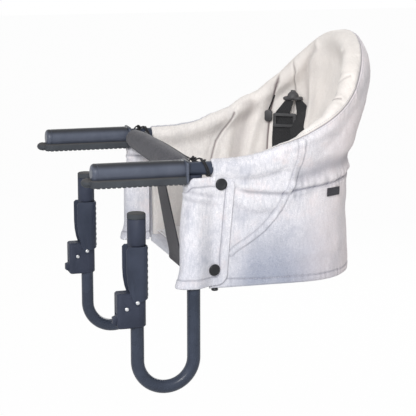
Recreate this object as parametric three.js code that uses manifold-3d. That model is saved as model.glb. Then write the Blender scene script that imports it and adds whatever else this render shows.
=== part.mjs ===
// Hook-on table chair: a sewn seat on a bent tube frame, held to a table edge by two arms
// above it and two clamps below it.
// Millimetres. +X runs from the table to the seat's back, +Z is up, z = 0 is the tabletop,
// y = 0 is the middle plane and x = 0 is the plane of the rear uprights.

import * as THREE from "three";
import { mergeVertices } from "three/addons/utils/BufferGeometryUtils.js";
import Module from "manifold-3d";

const wasm = await Module();
wasm.setup();

// Tubes and fits
const TUBE_D = 19;
const TUBE_WALL = 1.8;
const CROSS_D = 14;
const CLEARANCE = 0.3;
const TUBE_SIDES = 14;
const BORE_SIDES = 6;
const TUBE_R = TUBE_D / 2;
const CROSS_R = CROSS_D / 2;

// Arms, grips and pads
const HALF_SPAN = 170;
const ARM_AXIS_Z = 19.5;
const GRIP_D = 26.5;
const GRIP_LENGTH = 134.5;
const GRIP_REAR_X = -10.5;
const GRIP_DOME = 5;
const GRIP_END_WALL = 3;
const FLANGE_T = 4;
const PAD_W = 36;
const PAD_H = 11;
const PAD_NOSE = 14;
const PAD_NOSE_H = 13;
const PAD_NOSE_HALF_W = 11.5;
const PAD_NOSE_HALF_LENGTH = 9;
const PAD_LIP = 3;
const PAD_GROOVES = 18;
const PAD_GROOVE_W = 3;
const PAD_GROOVE_DEPTH = 1.6;
const PAD_STRIP_W = 21.6;
const PAD_EDGE_R = 1.5;
const PAD_CORNER_R = 12;
const CROSS_X = -2.5;
const ROUND_SIDES = 24;

// Rim of the seat: it leaves the arms, climbs and turns round the back
const SHELL_FRONT_X = 25;
const RIM_TURN_X = 130;
const RIM_BACK_X = 288;
const RIM_TOP_Z = 180;
const RIM_SQUARENESS = 2.3;
const RIM_LAG = 1.75;
const RIM_COVER = 2.6;
const SIDE_SHARE = 0.35;
const COLUMNS = 12;

// Seat wall and base
const WALL_T = 7;
const BASE_Z = -155;
const BASE_HALF = 163;
const BASE_TURN_X = 150;
const BASE_BACK_X = 268;
const BASE_SQUARENESS = 2.6;
const SIDE_BELLY = 3;
const BACK_BELLY = 34;
const BELLY_POWER = 4;
const BACK_WAIST = 14;
const WALL_STEPS = 8;
const BASE_FRONT_X = 21;
const BASE_T = 12;
const BASE_LIFT = 1;
const BASE_EDGE_R = 2.5;
const PAD_INSET = 5;
const SEAT_PAD_T = 12;
const SEAT_PAD_CROWN = 7;
const SEAT_PAD_DRAW = 4;
const SEAT_PAD_CORNER_HOLD = 1.6;
const SEAT_PAD_TUCK = 3;
const SEAT_PAD_EDGE = 1;
const SEAT_PAD_FRONT_X = 30;

// Bumper roll and its cord
const ROLL_X = -8;
const ROLL_Z = 17;
const ROLL_END_R = 14.3;
const ROLL_MID_R = 17.2;
const ROLL_END_SET = 20;
const ROLL_END_SHARE = 0.72;
const ROLL_END_POWER = 20;
const ROLL_SIDES = 16;
const CORD_D = 2.2;
const CORD_R = CORD_D / 2;
const CORD_SIDES = 6;
const WINDING_TURNS = 2;
const WINDING_GAP = 0.5;
const WINDING_LEAN = 3.5;
const WINDING_STEPS = 12;
const KNOT_R = 4.5;
const KNOT_STRETCH = 1.25;
const KNOT_X = 3;
const KNOT_ANGLE = 52;
// Each point of one half: x, how far in from the arm's axis, z.
const BUMPER_CORD_HALF = [
  [12, 16, 25.5],
  [10, 24, 26],
  [7.8, 70, 25.9],
];
const BUMPER_CORD_MIDDLE = [8.9, 0, 26.5];

// Sockets and flaps round the rear uprights
const SOCKET_WALL = 2;
const SOCKET_LENGTH = 56;
const SOCKET_SADDLE = 1.5;
const SOCKET_END = 6;
const FLAP_T = 2.2;
const FLAP_TOP_Z = 0;
const FLAP_BOTTOM_Z = -150;
const FLAP_RISE = 6;
const FLAP_HEM_X = 58;
const FLAP_HEM_TAPER = 8;
const FLAP_LAND_X = 30;
const FLAP_TOP_CORNER = 12;
const FLAP_BOTTOM_CORNER = 18;
const FLAP_INNER_X = 18;
const FLAP_WAIST = 6;
const FLAP_FLARE = 6;
const FLAP_FLARE_FROM = 0.8;
const FLAP_STEPS = 8;
const SNAP_D = 17;
const SNAP_H = 3;
const SNAP_RIM_H = 1.2;
const SNAP_SHOULDER = 1.9;
const UPPER_SNAP_X = 37.5;
const UPPER_SNAP_Z = -3;
const LOWER_SNAP_X = 29;
const LOWER_SNAP_Z = -126;
const HEM_SNAP_D = 10;
const HEM_SNAP_X = 33;

// Crotch strap, in the middle plane
const CROTCH_W = 76;
const CROTCH_TOP_W = 56;
const CROTCH_T = 2;
const CROTCH_RUN = 42;

// Harness
const WEB_W = 25;
const LAP_W = 38;
const WEB_T = 2;
const ADJUSTER_W = 37;
const ADJUSTER_H = 22;
const ADJUSTER_T = 4;
const ADJUSTER_BAR = 4.5;
const ADJUSTER_CORNER_R = 2;
const BUCKLE_W = 31;
const BUCKLE_DEPTH = 15;
const BUCKLE_BASE_H = 5;
const BUCKLE_CORNER_R = 5;
const BUCKLE_EDGE_R = 1.2;
const BUCKLE_DOME_R = 9.5;
const BUCKLE_DOME_H = 9;
const BUTTON_R = 4;
const BUTTON_H = 5;
const BUTTON_PROUD = 1.5;
const BUTTON_TRAVEL = 2.5;
const BUTTON_CHAMFER = 1.1;
const CLIP_W = 12;
const CLIP_H = 18;
const CLIP_T = 5;
const CLIP_CORNER_R = 4;
const TAG_W = 26;
const TAG_H = 12;
const TAG_T = 1.2;
const TAG_ROUND = 0.54;
const TAG_UP = 0.555;
const HARNESS_TURN = 32;
const SHOULDER_TURN = 50;
const LAP_NARROW_Z = 0;
const LAP_TOP_W = 12.5;
const SHOULDER_TOP_W = 10;
// Harness points: x, share of the seat's half width at that height, z.
const BUCKLE_AT = [245, 0.6647, 73];
const ADJUSTER_AT = [232.2, 0.6706, 41];
const CLIP_AT = [214, 0.8412, 45];
const LAP_POINTS = [
  [234, 0.6521, -128.2],
  [232, 0.6594, -60],
  [230, 0.6678, 0],
  [231, 0.6706, 25],
  [233, 0.6735, 45],
  [240, 0.6676, 72.7],
];
const SHOULDER_POINTS = [
  [252, 0.6441, 72.7],
  [257.3, 0.5824, 54],
  [254, 0.4824, 34],
  [247, 0.4018, 0],
  [244, 0.3473, -55],
  [242, 0.329, -126.9],
];
const TETHER_POINTS = [
  [223.4, 0.8165, 78.5],
  [221, 0.8271, 72.5],
  [217.5, 0.8376, 63],
  [214.5, 0.8412, 54.6],
];

// Hooks
const HOOK_PITCH = 82;
const HOOK_DROP = 301;
const HOOK_BEND_STEPS = 16;
const HOOK_R = HOOK_PITCH / 2;
const BEND_Z = -HOOK_DROP + TUBE_R + HOOK_R;

// Clamps, at a 38 mm thick table
const TABLE_T = 38;
const FOOT_D = 26;
const FOOT_H = 46;
const FOOT_PAD_T = 8;
const FOOT_CEILING = 6;
const FOOT_EDGE = 1;
const FOOT_PAD_EDGE = 1.5;
const NECK_D = 23.6;
const NECK_H = 66;
const BLOCK_H = 50;
const BLOCK_HALF_T = 12.4;
const BLOCK_REACH = 30.5;
const BLOCK_CORNER_R = 5;
const BLOCK_EDGE_R = 2;
const UPRIGHT_REACH = 47;
const LEVER_T = 1.8;
const LEVER_CORNER_R = 10;
const LEVER_REACH = 17.5;
const LEVER_TOP_CHAMFER = 3;
const LEVER_BELLY_LOW = 5;
const LEVER_BELLY_HIGH = 32;
const LEVER_TIP_R = 4.5;
const LEVER_RIBS = 9;
const LEVER_RIB_H = 4;
const LEVER_RIB_OUT = 0.8;
const PIVOT_X = -2.4;
const PIVOT_BELOW = 13;
const RIVET_R = 2;
const RIVET_HEAD_R = 3.2;
const RIVET_HEAD_H = 1.5;
const RIVET_CROWN_R = 2.2;
const RIVET_CROWN_H = 1.2;
const RIVET_STUB = 2;
const RIVET_SIDES = 12;
const PAWL_X = -17.4;
const PAWL_BELOW = 21.6;
const PAWL_HALF_T = 5;
const TAB_OUT = 5;
const TAB_H = 13;
const TAB_BELOW = 33;
const TAB_CHAMFER = 2;
const PAWL_EYE_R = 5.5;
const PAWL_NOSE = 7;
const PAWL_NOSE_TOP = 1;
const PAWL_TAIL = 4;
const PAWL_SWING = 3.2;

const BLOCK_TOP_Z = -TABLE_T - FOOT_H - NECK_H;
const LEVER_TOP_Z = -TABLE_T - FOOT_H - CLEARANCE;
const GRIP_R = GRIP_D / 2;
const GRIP_FRONT_X = GRIP_REAR_X - GRIP_LENGTH;
const HOOP_FRONT_X = GRIP_FRONT_X + GRIP_DOME + GRIP_END_WALL;
const BEAD_R = TUBE_R + CLEARANCE + RIM_COVER;
const rollHalfLength = HALF_SPAN - ROLL_END_SET;
const LEVER_HALF_W = BLOCK_HALF_T + CLEARANCE + LEVER_T;

const RIM_PLAN = {
  front: SHELL_FRONT_X,
  turn: RIM_TURN_X,
  back: RIM_BACK_X,
  half: HALF_SPAN,
  squareness: RIM_SQUARENESS,
};
const BASE_PLAN = {
  front: SHELL_FRONT_X,
  turn: BASE_TURN_X,
  back: BASE_BACK_X,
  half: BASE_HALF,
  squareness: BASE_SQUARENESS,
};

// Materials

const finish = (color, roughness, metalness) => () =>
  new THREE.MeshStandardMaterial({ color, roughness, metalness });
const paintedTube = finish(0x3d4049, 0.45, 0.4);
const satinPlastic = finish(0x45484f, 0.5, 0.0);
const mattePlastic = finish(0x2f3138, 0.6, 0.0);
const rubber = finish(0x26272b, 0.85, 0.0);
const seatFabric = finish(0xd5d6da, 0.95, 0.0);
const rollFabric = finish(0x5f5d62, 0.95, 0.0);
const webbing = finish(0x303031, 0.9, 0.0);
const cordFabric = finish(0x1c1c1e, 0.85, 0.0);
const snapPlastic = finish(0x2d3032, 0.6, 0.0);
const steel = finish(0xc9cacc, 0.3, 1.0);

// Vectors and numbers

const vec = (x, y, z) => new THREE.Vector3(x, y, z);
const mix = THREE.MathUtils.lerp;
const ease = (t) => THREE.MathUtils.smoothstep(t, 0, 1);
const boreRadius = (r, sides) => (r + CLEARANCE) / Math.cos(Math.PI / sides);

// Closed geometry

// Shares vertices and turns the faces outward.
function closed(geometry) {
  const bare = new THREE.BufferGeometry();
  bare.setAttribute("position", geometry.getAttribute("position").clone());
  if (geometry.index) bare.setIndex(geometry.index.clone());
  const merged = mergeVertices(bare, 1e-4);
  const p = merged.getAttribute("position");
  const index = merged.index.array;
  const corner = [vec(), vec(), vec()];
  let volume = 0;
  for (let i = 0; i < index.length; i += 3) {
    corner.forEach((c, k) => c.fromBufferAttribute(p, index[i + k]));
    volume += corner[0].dot(corner[1].cross(corner[2]));
  }
  if (volume < 0) index.reverse();
  return merged;
}

function solid(geometry) {
  const ready = closed(geometry);
  return new wasm.Manifold(
    new wasm.Mesh({
      numProp: 3,
      vertProperties: new Float32Array(ready.getAttribute("position").array),
      triVerts: new Uint32Array(ready.index.array),
    }),
  );
}

function geometryOf(manifold) {
  const mesh = manifold.getMesh();
  const geometry = new THREE.BufferGeometry();
  geometry.setAttribute("position", new THREE.BufferAttribute(mesh.vertProperties, 3));
  geometry.setIndex(new THREE.BufferAttribute(mesh.triVerts, 1));
  return geometry;
}

function join(geometries) {
  return geometryOf(geometries.map(solid).reduce((whole, next) => whole.add(next)));
}

function cut(geometry, tools) {
  return geometryOf(tools.map(solid).reduce((whole, tool) => whole.subtract(tool), solid(geometry)));
}

function common(geometry, other) {
  return geometryOf(solid(geometry).intersect(solid(other)));
}

function mirrored(geometry, sign) {
  return geometry.clone().scale(1, sign, 1);
}

// Shapes

function circle(radius, sides) {
  const points = [];
  for (let i = 0; i < sides; i += 1) {
    const angle = ((i + 0.5) / sides) * 2 * Math.PI;
    points.push(new THREE.Vector2(radius * Math.cos(angle), radius * Math.sin(angle)));
  }
  return points;
}

function roundedRectangle(width, height, radius) {
  const shape = new THREE.Shape();
  const x = width / 2;
  const y = height / 2;
  shape.absarc(x - radius, y - radius, radius, 0, Math.PI / 2);
  shape.absarc(radius - x, y - radius, radius, Math.PI / 2, Math.PI);
  shape.absarc(radius - x, radius - y, radius, Math.PI, 1.5 * Math.PI);
  shape.absarc(x - radius, radius - y, radius, 1.5 * Math.PI, 2 * Math.PI);
  return shape;
}

// A shape in x and z, carried along y and centred on y = 0.
function extrudeY(shape, width) {
  const geometry = new THREE.ExtrudeGeometry(shape, { depth: width, bevelEnabled: false, curveSegments: 4 });
  return geometry.translate(0, 0, -width / 2).rotateX(Math.PI / 2);
}

// A shape in x and y, carried up from z with its edges rounded inside its own outline.
function extrudeUp(shape, z, height, edge) {
  const geometry = new THREE.ExtrudeGeometry(shape, {
    depth: height - 2 * edge,
    bevelThickness: edge,
    bevelSize: edge,
    bevelOffset: -edge,
    bevelSegments: 1,
    curveSegments: 4,
  });
  return geometry.translate(0, 0, z + edge);
}

function extrudeZ(shape, fromZ, toZ) {
  const options = { depth: toZ - fromZ, bevelEnabled: false, curveSegments: 4 };
  return new THREE.ExtrudeGeometry(shape, options).translate(0, 0, fromZ);
}

function cylinderX(radius, fromX, toX, sides = TUBE_SIDES) {
  const geometry = new THREE.CylinderGeometry(radius, radius, toX - fromX, sides);
  return geometry.rotateZ(Math.PI / 2).translate((fromX + toX) / 2, 0, 0);
}

function cylinderY(radius, fromY, toY, sides) {
  const geometry = new THREE.CylinderGeometry(radius, radius, toY - fromY, sides);
  return geometry.translate(0, (fromY + toY) / 2, 0);
}

function cylinderZ(radius, fromZ, toZ, sides = TUBE_SIDES) {
  const geometry = new THREE.CylinderGeometry(radius, radius, toZ - fromZ, sides);
  return geometry.rotateX(Math.PI / 2).translate(0, 0, (fromZ + toZ) / 2);
}

function boxBetween(low, high) {
  const size = high.clone().sub(low);
  const middle = low.clone().add(high).multiplyScalar(0.5);
  return new THREE.BoxGeometry(size.x, size.y, size.z).translate(middle.x, middle.y, middle.z);
}

// A profile of [radius, z] pairs turned round the z axis.
function turned(profile, sides) {
  const points = profile.map(([r, z]) => new THREE.Vector2(r, z));
  return new THREE.LatheGeometry(points, sides).rotateX(Math.PI / 2);
}

// A path whose sections stand at its own points.
class Route extends THREE.Curve {
  constructor(points) {
    super();
    this.points = points;
  }

  getPoint(t, target = vec()) {
    const last = this.points.length - 1;
    const i = Math.min(Math.floor(t * last + 1e-6), last - 1);
    return target.lerpVectors(this.points[i], this.points[i + 1], t * last - i);
  }

  getPointAt(u, target) {
    return this.getPoint(u, target);
  }

  getTangentAt(u, target = vec()) {
    const last = this.points.length - 1;
    const i = Math.round(u * last);
    const here = this.points[i];
    const before = i > 0 ? here.clone().sub(this.points[i - 1]).normalize() : vec();
    const after = i < last ? this.points[i + 1].clone().sub(here).normalize() : vec();
    return target.addVectors(before, after).normalize();
  }
}

function sweep(points, radius, sides, innerRadius = 0) {
  const shape = new THREE.Shape(circle(radius, sides));
  if (innerRadius > 0) shape.holes.push(new THREE.Path(circle(innerRadius, BORE_SIDES)));
  return new THREE.ExtrudeGeometry(shape, {
    steps: points.length - 1,
    extrudePath: new Route(points),
  });
}

// Flat triangles that close a ring, turned along the ring or against it.
function cap(ring, offset, along) {
  const normal = vec();
  ring.forEach((p, i) => normal.add(p.clone().cross(ring[(i + 1) % ring.length])));
  const size = normal.toArray().map(Math.abs);
  const drop = size.indexOf(Math.max(...size));
  const axes = [0, 1, 2].filter((axis) => axis !== drop);
  const flat = ring.map((p) => new THREE.Vector2(p.getComponent(axes[0]), p.getComponent(axes[1])));
  const ringArea = THREE.ShapeUtils.area(flat);
  return THREE.ShapeUtils.triangulateShape(flat, []).flatMap((triangle) => {
    const area = THREE.ShapeUtils.area(triangle.map((i) => flat[i]));
    const ordered = area * ringArea > 0 === along ? triangle : [...triangle].reverse();
    return ordered.map((i) => i + offset);
  });
}

// A closed skin through a row of rings with equal point counts, with flat ends.
function loft(rings) {
  const count = rings[0].length;
  const last = rings.length - 1;
  const index = [];
  for (let r = 0; r < last; r += 1) {
    for (let i = 0; i < count; i += 1) {
      const a = r * count + i;
      const b = r * count + ((i + 1) % count);
      index.push(a, b, b + count, a, b + count, a + count);
    }
  }
  index.push(...cap(rings[0], 0, false));
  index.push(...cap(rings[last], last * count, true));
  const geometry = new THREE.BufferGeometry();
  geometry.setFromPoints(rings.flat());
  geometry.setIndex(index);
  return geometry;
}

// A flat strap: stations give its middle, the direction of its width and that width.
function strap(stations, thickness) {
  const middles = stations.map((s) => s.at);
  const rings = stations.map((station, i) => {
    const before = middles[Math.max(i - 1, 0)];
    const after = middles[Math.min(i + 1, middles.length - 1)];
    const along = after.clone().sub(before).normalize();
    const half = station.across.clone().normalize().multiplyScalar(station.width / 2);
    const depth = along.cross(half).normalize().multiplyScalar(thickness / 2);
    const corners = [
      [1, 1],
      [-1, 1],
      [-1, -1],
      [1, -1],
    ];
    return corners.map(([a, b]) => station.at.clone().addScaledVector(half, a).addScaledVector(depth, b));
  });
  return loft(rings);
}

// Seat surfaces

// Plan of one half of a wall: v is 0 at its front and 1 at the middle of the back.
function plan(v, { front, turn, back, half, squareness }) {
  if (v <= SIDE_SHARE) return new THREE.Vector2(mix(front, turn, v / SIDE_SHARE), half);
  const angle = (((v - SIDE_SHARE) / (1 - SIDE_SHARE)) * Math.PI) / 2;
  const across = Math.max(Math.cos(angle), 0) ** (2 / squareness);
  return new THREE.Vector2(mix(turn, back, Math.sin(angle) ** (2 / squareness)), half * across);
}

function planOutward(v, outline) {
  const step = 0.01;
  const a = plan(Math.max(v - step, 0), outline);
  const b = plan(Math.min(v + step, 1), outline);
  if (v >= 1 - step / 2) return new THREE.Vector2(1, 0);
  return new THREE.Vector2(a.y - b.y, b.x - a.x).normalize();
}

// Axis of the hoop tube inside the rim.
function rim(v) {
  const at = plan(v, RIM_PLAN);
  return vec(at.x, at.y, mix(ARM_AXIS_Z, RIM_TOP_Z, ease(v) ** RIM_LAG));
}

// Seat wall, y > 0 half: t is 0 at the base and 1 at the rim, and out is measured from the middle
// of the wall's thickness.
function wall(v, t, out) {
  const base = plan(v, BASE_PLAN);
  const top = rim(v);
  const outward = planOutward(v, RIM_PLAN);
  const behind = ease(2 * v - 1);
  const belly = mix(SIDE_BELLY, BACK_BELLY, behind) * Math.sin(Math.PI * t ** BELLY_POWER);
  const waist = BACK_WAIST * behind * Math.sin(Math.PI * t) ** 2;
  const at = vec(mix(base.x, top.x, t), mix(base.y, top.y, t), mix(BASE_Z, top.z, t));
  return at.add(vec(outward.x, outward.y, 0).multiplyScalar(belly - waist + out));
}

const wallShare = (z) => (z - BASE_Z) / (ARM_AXIS_Z - BASE_Z);

// Runs a function over both halves, from the front of the left side to the front of the right side.
function roundTheSeat(columns, make) {
  const found = [];
  for (let i = 0; i <= columns; i += 1) found.push(make(i / columns, -1));
  for (let i = columns - 1; i >= 0; i -= 1) found.push(make(i / columns, 1));
  return found;
}

const rimPoints = roundTheSeat(COLUMNS, (v, sign) => rim(v).multiply(vec(1, sign, 1)));

const hoopPoints = [
  vec(HOOP_FRONT_X, -HALF_SPAN, ARM_AXIS_Z),
  ...rimPoints,
  vec(HOOP_FRONT_X, HALF_SPAN, ARM_AXIS_Z),
];

// Upper frame

function hoopTube() {
  return sweep(hoopPoints, TUBE_R, TUBE_SIDES, TUBE_R - TUBE_WALL);
}

// Its ends are coped to the arms.
function crossTube() {
  const ends = [-1, 1].map((sign) => vec(CROSS_X, sign * HALF_SPAN, ARM_AXIS_Z));
  const tube = sweep(ends, CROSS_R, TUBE_SIDES, CROSS_R - TUBE_WALL);
  const arms = [-1, 1].map((sign) =>
    cylinderX(boreRadius(TUBE_R, TUBE_SIDES), CROSS_X - CROSS_D, CROSS_X + CROSS_D).translate(
      0,
      sign * HALF_SPAN,
      ARM_AXIS_Z,
    ),
  );
  return cut(tube, arms);
}

// Fatter in the middle, with rounded ends, round the cross tube.
function bumperRoll() {
  const steps = 12;
  const rings = [];
  for (let i = 0; i <= steps; i += 1) {
    const along = -Math.cos((i / steps) * Math.PI);
    const swell = mix(ROLL_END_R, ROLL_MID_R, 1 - along * along);
    const radius = swell * mix(ROLL_END_SHARE, 1, Math.sqrt(Math.max(1 - along ** ROLL_END_POWER, 0)));
    rings.push(
      circle(radius, ROLL_SIDES).map((p) => vec(ROLL_X + p.x, along * rollHalfLength, ROLL_Z + p.y)),
    );
  }
  const bore = cylinderY(boreRadius(CROSS_R, TUBE_SIDES), -HALF_SPAN, HALF_SPAN, TUBE_SIDES);
  return cut(loft(rings), [bore.translate(CROSS_X, 0, ARM_AXIS_Z)]);
}

// Built on the arm's axis, with z from the tabletop.
function armGrip() {
  const dome = 4;
  const outline = [[0, GRIP_FRONT_X]];
  for (let i = 1; i <= dome; i += 1) {
    const angle = ((i / dome) * Math.PI) / 2;
    const radius = GRIP_R - GRIP_DOME + GRIP_DOME * Math.sin(angle);
    outline.push([radius, GRIP_FRONT_X + GRIP_DOME * (1 - Math.cos(angle))]);
  }
  outline.push([GRIP_R, GRIP_REAR_X - FLANGE_T / 2], [0, GRIP_REAR_X - FLANGE_T / 2]);
  const sleeve = turned(outline, ROUND_SIDES).rotateY(Math.PI / 2).translate(0, 0, ARM_AXIS_Z);
  const flangeTop = ARM_AXIS_Z + GRIP_R + CLEARANCE;
  const flangeBottom = 2 * CLEARANCE;
  const flangeShape = roundedRectangle(PAD_W, flangeTop - flangeBottom, PAD_H / 2);
  const flange = new THREE.ExtrudeGeometry(flangeShape, {
    depth: FLANGE_T,
    bevelEnabled: false,
    curveSegments: 4,
  });
  flange.rotateX(Math.PI / 2).rotateZ(Math.PI / 2);
  flange.translate(GRIP_REAR_X - FLANGE_T, 0, (flangeTop + flangeBottom) / 2);
  const boreFrom = HOOP_FRONT_X - CLEARANCE;
  const bore = cylinderX(boreRadius(TUBE_R, TUBE_SIDES), boreFrom, GRIP_REAR_X + CLEARANCE);
  const notch = cylinderZ(socketRadius() + CLEARANCE, 0, socketTop() + CLEARANCE, ROUND_SIDES);
  return cut(join([sleeve, flange]), [bore.translate(0, 0, ARM_AXIS_Z), notch]);
}

// A tray under the grip with a raised nose in front and cross grooves underneath.
function armPad() {
  const rearX = GRIP_REAR_X - FLANGE_T - CLEARANCE;
  const frontX = GRIP_FRONT_X - PAD_LIP;
  const tray = extrudeUp(roundedRectangle(rearX - frontX, PAD_W, PAD_CORNER_R), 0, PAD_H, PAD_EDGE_R);
  tray.translate((rearX + frontX) / 2, 0, 0);
  const square = boxBetween(vec(rearX - PAD_CORNER_R, -PAD_W / 2, 0), vec(rearX, PAD_W / 2, PAD_H));
  const nose = new THREE.SphereGeometry(1, 12, 8);
  nose.scale(PAD_NOSE_HALF_LENGTH, PAD_NOSE_HALF_W, PAD_NOSE_H / 2);
  nose.translate(GRIP_FRONT_X - PAD_NOSE + PAD_NOSE_HALF_LENGTH, 0, PAD_NOSE_H / 2);
  const trough = cylinderX(GRIP_R + CLEARANCE, GRIP_FRONT_X - CLEARANCE, rearX + CLEARANCE, ROUND_SIDES);
  trough.translate(0, 0, ARM_AXIS_Z);
  const pitch = (GRIP_LENGTH - FLANGE_T) / PAD_GROOVES;
  const grooves = [];
  for (let i = 0; i < PAD_GROOVES; i += 1) {
    const x = GRIP_FRONT_X + (i + 0.5) * pitch;
    const low = vec(x - PAD_GROOVE_W / 2, PAD_STRIP_W / 2, -CLEARANCE);
    const high = vec(x + PAD_GROOVE_W / 2, PAD_W / 2 + CLEARANCE, PAD_GROOVE_DEPTH);
    const groove = boxBetween(low, high);
    grooves.push(groove, mirrored(groove, -1));
  }
  return cut(join([tray, square, nose]), [trough, ...grooves]);
}

// Saddle under the arm with a blind bore for the hook's rear upright.
function armSocket() {
  const topZ = socketTop();
  const bore = boreRadius(TUBE_R, TUBE_SIDES);
  const body = cylinderZ(socketRadius(), topZ - SOCKET_LENGTH, topZ, ROUND_SIDES);
  const arm = cylinderX(bore, -TUBE_D, TUBE_D).translate(0, 0, ARM_AXIS_Z);
  const socket = cylinderZ(bore, topZ - SOCKET_LENGTH - CLEARANCE, uprightTop() + CLEARANCE);
  return cut(body, [arm, socket]);
}

const uprightTop = () => ARM_AXIS_Z - TUBE_R - SOCKET_END;
const socketTop = () => ARM_AXIS_Z - TUBE_R + SOCKET_SADDLE;
const socketRadius = () => boreRadius(TUBE_R, TUBE_SIDES) + SOCKET_WALL;

// Seat

// A wall with a pocket for the hoop tube along its rim.
function seatShell() {
  const rings = roundTheSeat(COLUMNS, (v, sign) => {
    const ring = [];
    for (let j = 0; j <= WALL_STEPS; j += 1) ring.push(wall(v, j / WALL_STEPS, WALL_T / 2));
    for (let j = WALL_STEPS; j >= 0; j -= 1) ring.push(wall(v, j / WALL_STEPS, -WALL_T / 2));
    return ring.map((p) => p.multiply(vec(1, sign, 1)));
  });
  const bead = sweep(rimPoints, BEAD_R, TUBE_SIDES);
  const pocket = sweep(hoopPoints, TUBE_R + CLEARANCE, TUBE_SIDES);
  return cut(join([loft(rings), bead]), [pocket]);
}

// Points of the base's plan, drawn in from the middle of the wall's thickness.
function basePoints(inset, frontX) {
  const points = roundTheSeat(COLUMNS, (v, sign) => {
    const at = plan(v, BASE_PLAN).addScaledVector(planOutward(v, BASE_PLAN), -inset);
    return new THREE.Vector2(at.x, at.y * sign);
  });
  const half = BASE_HALF - inset;
  return [new THREE.Vector2(frontX, -half), ...points.slice(1, -1), new THREE.Vector2(frontX, half)];
}

function seatBase() {
  const shape = new THREE.Shape(basePoints(WALL_T / 2 + CLEARANCE, BASE_FRONT_X));
  return extrudeUp(shape, BASE_Z + BASE_LIFT, BASE_T, BASE_EDGE_R);
}

// A crowned cushion whose sides draw in between its corners.
function seatPad() {
  const outline = basePoints(WALL_T / 2 + PAD_INSET, SEAT_PAD_FRONT_X);
  const frontSteps = 6;
  const right = outline[outline.length - 1];
  for (let i = 1; i < frontSteps; i += 1) {
    outline.push(new THREE.Vector2(right.x, mix(right.y, -right.y, i / frontSteps)));
  }
  const middle = new THREE.Vector2((SEAT_PAD_FRONT_X + BASE_BACK_X) / 2, 0);
  const bottomZ = BASE_Z + BASE_LIFT + BASE_T + CLEARANCE;
  const ring = (z, inset, scale) =>
    outline.map((p) => {
      const from = p.clone().sub(middle);
      const corner = Math.abs(from.x * from.y) / (middle.x * BASE_HALF);
      const reach = from.length() - inset - SEAT_PAD_DRAW * Math.max(1 - SEAT_PAD_CORNER_HOLD * corner, 0);
      const at = from.setLength(reach * scale).add(middle);
      return vec(at.x, at.y, z);
    });
  const rings = [ring(bottomZ, SEAT_PAD_TUCK, 1), ring(bottomZ + SEAT_PAD_T / 3, 0, 1)];
  rings.push(ring(bottomZ + (SEAT_PAD_T * 3) / 4, SEAT_PAD_EDGE, 1));
  for (const scale of [0.94, 0.75, 0.5, 0.25]) {
    rings.push(ring(bottomZ + SEAT_PAD_T + SEAT_PAD_CROWN * (1 - scale ** 2), SEAT_PAD_EDGE, scale));
  }
  return loft(rings);
}

const flapRadius = () => socketRadius() + CLEARANCE + FLAP_T / 2;

// How far the flap's middle surface stands out from the upright's axis, behind the upright.
function flapOut(x, z) {
  const onWall = wall(0, wallShare(z), WALL_T / 2 + 2 * CLEARANCE + FLAP_T / 2).y - HALF_SPAN;
  return mix(flapRadius(), onWall, ease(x / FLAP_LAND_X));
}

// Drop of a rounded corner at a distance from the hem.
function cornerDrop(fromHem, radius) {
  const into = Math.max(radius - fromHem, 0);
  return radius - Math.sqrt(radius ** 2 - into ** 2);
}

// One way down the flap: its front bends round the upright, its rear share reaches for the hem.
function flapColumn(share, place) {
  const fromHem = (1 - share) * FLAP_HEM_X;
  const top = FLAP_TOP_Z + FLAP_RISE * ease(3 * share) - cornerDrop(fromHem, FLAP_TOP_CORNER);
  const bottom = FLAP_BOTTOM_Z + cornerDrop(fromHem, FLAP_BOTTOM_CORNER);
  const column = [];
  for (let j = 0; j <= FLAP_STEPS; j += 1) {
    const down = j / FLAP_STEPS;
    const at = place(down, mix(top, bottom, down));
    column.push(vec(at.x, at.y, mix(top, bottom, down)));
  }
  return column;
}

const flapFlare = (down) => ease((down - FLAP_FLARE_FROM) / (1 - FLAP_FLARE_FROM));

// A sheet round the front of the upright: x and out from the upright's axis, out > 0 outside.
function flap() {
  const bends = 8;
  const columns = [flapColumn(0, () => new THREE.Vector2(FLAP_INNER_X, -flapRadius()))];
  for (let i = 0; i <= bends; i += 1) {
    const angle = (i / bends) * Math.PI;
    columns.push(
      flapColumn(0, (down) => {
        const reach = flapRadius() + FLAP_WAIST * ease(2 * down) + FLAP_FLARE * flapFlare(down);
        return new THREE.Vector2(-reach * Math.sin(angle), -flapRadius() * Math.cos(angle));
      }),
    );
  }
  for (const share of [0.1, 0.25, 0.5, 0.7, 0.82, 0.92, 0.98, 1]) {
    columns.push(
      flapColumn(share, (down, z) => {
        const x = share * (FLAP_HEM_X - FLAP_HEM_TAPER * down);
        return new THREE.Vector2(x, flapOut(x, z));
      }),
    );
  }
  const rings = columns[0].map((start, j) => {
    const middle = columns.map((column) => column[j]);
    const outside = [];
    const inside = [];
    middle.forEach((p, i) => {
      const before = middle[Math.max(i - 1, 0)];
      const after = middle[Math.min(i + 1, middle.length - 1)];
      const side = vec(before.y - after.y, after.x - before.x, 0).setLength(FLAP_T / 2);
      outside.push(p.clone().add(side));
      inside.unshift(p.clone().sub(side));
    });
    return [...outside, ...inside];
  });
  return loft(rings);
}

function snap(diameter) {
  const r = diameter / 2;
  return turned([[0, 0], [r, 0], [r, SNAP_RIM_H], [r - SNAP_SHOULDER, SNAP_H], [0, SNAP_H]], ROUND_SIDES);
}

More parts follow.
